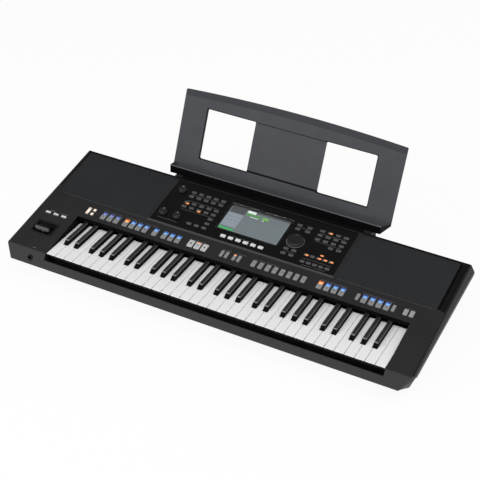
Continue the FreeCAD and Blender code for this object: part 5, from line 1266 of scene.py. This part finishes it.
def rest_band(tree):
    """Painted shade on the band that follows the arched top edge."""
    x = along(tree, (1, 0, 0))
    square = figured(tree, "MULTIPLY", x, x)
    rise = figured(tree, "MULTIPLY_ADD", square, REST_ARCH / REST_HALF ** 2, along(tree, rest_up))
    return above(tree, rise, rest_start + REST_HEIGHT + REST_ARCH - BAND_WIDTH)


def rest_cuts(tree):
    """Painted shade on the cut faces of the windows and in the groove round the middle plate."""
    return between(tree, rest_out, rest_level - CUT_HIGH, rest_level - CUT_LOW)


def window_rim(side):
    """Painted shade on a narrow border round one window."""
    near, far = WINDOW_SIDES
    low, high = (rest_start + rise for rise in WINDOW_RISES)
    return lambda tree: all_of(tree, [
        between(tree, (side, 0, 0), near - WINDOW_RIM, far + WINDOW_RIM),
        between(tree, rest_up, low - WINDOW_RIM, high + WINDOW_RIM),
    ])


# Painted shade on the trough's front.
def trough_front(tree):
    return past(tree, (0, -1, 0), -TROUGH_FRONT)


def trough_end(side):
    """Painted shade on the flared wall at one end of the trough."""
    start = TROUGH_HALF - TROUGH_FLARE * TROUGH_FRONT - 2 * EDGE_BLUR
    return lambda tree: all_of(tree, [
        past(tree, (side, -TROUGH_FLARE, 0), start),
        past(tree, (0, 0, -1), -TROUGH_TOP),
    ])


def trough_lip(tree):
    """A painted highlight along the lip's upper edge."""
    return all_of(tree, [past(tree, (0, 0, 1), TROUGH_LIP_TOP), past(tree, (0, -1, 0), -TROUGH_LIP_BACK)])


def plate_foot(tree):
    """Painted shade along the middle plate's lower edge."""
    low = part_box("music_rest_panel")[0]
    start = Vector((0, low[1], low[2])).dot(rest_up) + PLATE_LINE
    return past(tree, -rest_up, -start)


rest_areas = [(rest_band, REST_BAND_SHADE), (rest_cuts, REST_CUT_SHADE), (trough_front, TROUGH_SHADE)]
for side in (-1, 1):
    rest_areas += [(trough_end(side), TROUGH_SHADE), (window_rim(side), REST_CUT_SHADE)]
rest_areas.append((trough_lip, TROUGH_LIP_HIGHLIGHT))
plate_areas = [(plate_foot, REST_CUT_SHADE)]
dress(moulded("rest_plastic", REST_GREY, MATT, areas=rest_areas, shine=REST_SHINE), "music_rest")
rest_panel = moulded("rest_panel_satin", REST_PANEL_GREY, HALF_MATT, areas=plate_areas, shine=REST_SHINE)
dress(rest_panel, "music_rest_panel")


# Studio: a pale floor that shows white to the camera, one broad soft lamp in front, a weaker one
# overhead and one behind, and the camera at the photograph's angle.
FLOOR_SIZE = 40.0
FLOOR_WHITE = (0.88, 0.88, 0.88)
FLOOR_ROUGH = 0.9
FLOOR_SHARE = 0.93
WORLD_WHITE = (1, 1, 1, 1)
WORLD_LEVEL = 0.3
LAMP_AIM = Vector((0, 0, 0.1))
LAMPS = (
    ("front_lamp", (-1.3, -3.0, 1.7), 2.6, 95),
    ("top_lamp", (1.2, -1.0, 3.0), 2.4, 50),
    ("back_lamp", (1.8, 2.8, 1.0), 2.0, 25),
)
CAMERA_PLACE = (1.0468, -2.2082, 1.7940)
CAMERA_AZIMUTH = 25.625
CAMERA_ELEVATION = 34.603
CAMERA_ROLL = 2.189
CAMERA_LENS = 94.94
SENSOR_WIDTH = 36.0


def camera_sight(tree):
    """1 where the camera, a mirror or a window looks straight at the surface."""
    path = add_node(tree, "LightPath", {})
    total = path.outputs["Is Camera Ray"]
    for other in ("Is Glossy Ray", "Is Transmission Ray"):
        total = figured(tree, "MAXIMUM", total, path.outputs[other])
    return total


def studio_floor():
    mesh = bmesh.new()
    bmesh.ops.create_grid(mesh, x_segments=1, y_segments=1, size=FLOOR_SIZE / 2)
    material, tree, shader = start_finish("floor_paper", FLOOR_WHITE, FLOOR_ROUGH)
    white = add_node(tree, "Emission", {}).outputs["Emission"]
    share = figured(tree, "MULTIPLY", camera_sight(tree), FLOOR_SHARE)
    blend = add_node(tree, "MixShader", {0: share, 1: shader.outputs["BSDF"], 2: white})
    feed(tree, tree.nodes["Material Output"], {"Surface": blend.outputs["Shader"]})
    floor = finished(mesh, "floor", material)


def soft_lamp(name, place, size, power):
    """A square area lamp that faces the middle of the keyboard."""
    light = bpy.data.lights.new(name, "AREA")
    light.size = size
    light.energy = power
    lamp = in_scene(name, light)
    lamp.location = place
    lamp.rotation_euler = (LAMP_AIM - Vector(place)).to_track_quat("-Z", "Y").to_euler()


def studio_world():
    world = bpy.data.worlds.new("studio")
    bpy.context.scene.world = world
    world.use_nodes = True
    tree = world.node_tree
    feed(tree, tree.nodes["Background"], {"Color": WORLD_WHITE, "Strength": WORLD_LEVEL})


def studio_camera():
    turned, tipped, rolled = map(math.radians, (CAMERA_AZIMUTH, CAMERA_ELEVATION, CAMERA_ROLL))
    level = Vector((math.cos(turned), math.sin(turned), 0))
    flat = math.cos(tipped)
    back = Vector((math.sin(turned) * flat, -math.cos(turned) * flat, math.sin(tipped)))
    rise = back.cross(level)
    right = level * math.cos(rolled) + rise * math.sin(rolled)
    up = rise * math.cos(rolled) - level * math.sin(rolled)
    view = bpy.data.cameras.new("camera")
    view.lens = CAMERA_LENS
    view.sensor_width = SENSOR_WIDTH
    camera = in_scene("camera", view)
    turn = Matrix((right, up, back)).transposed()
    camera.matrix_world = Matrix.Translation(CAMERA_PLACE) @ turn.to_4x4()
    bpy.context.scene.camera = camera


studio_floor()
for lamp in LAMPS:
    soft_lamp(*lamp)
studio_world()
studio_camera()
bpy.context.scene.view_settings.view_transform = "Standard"
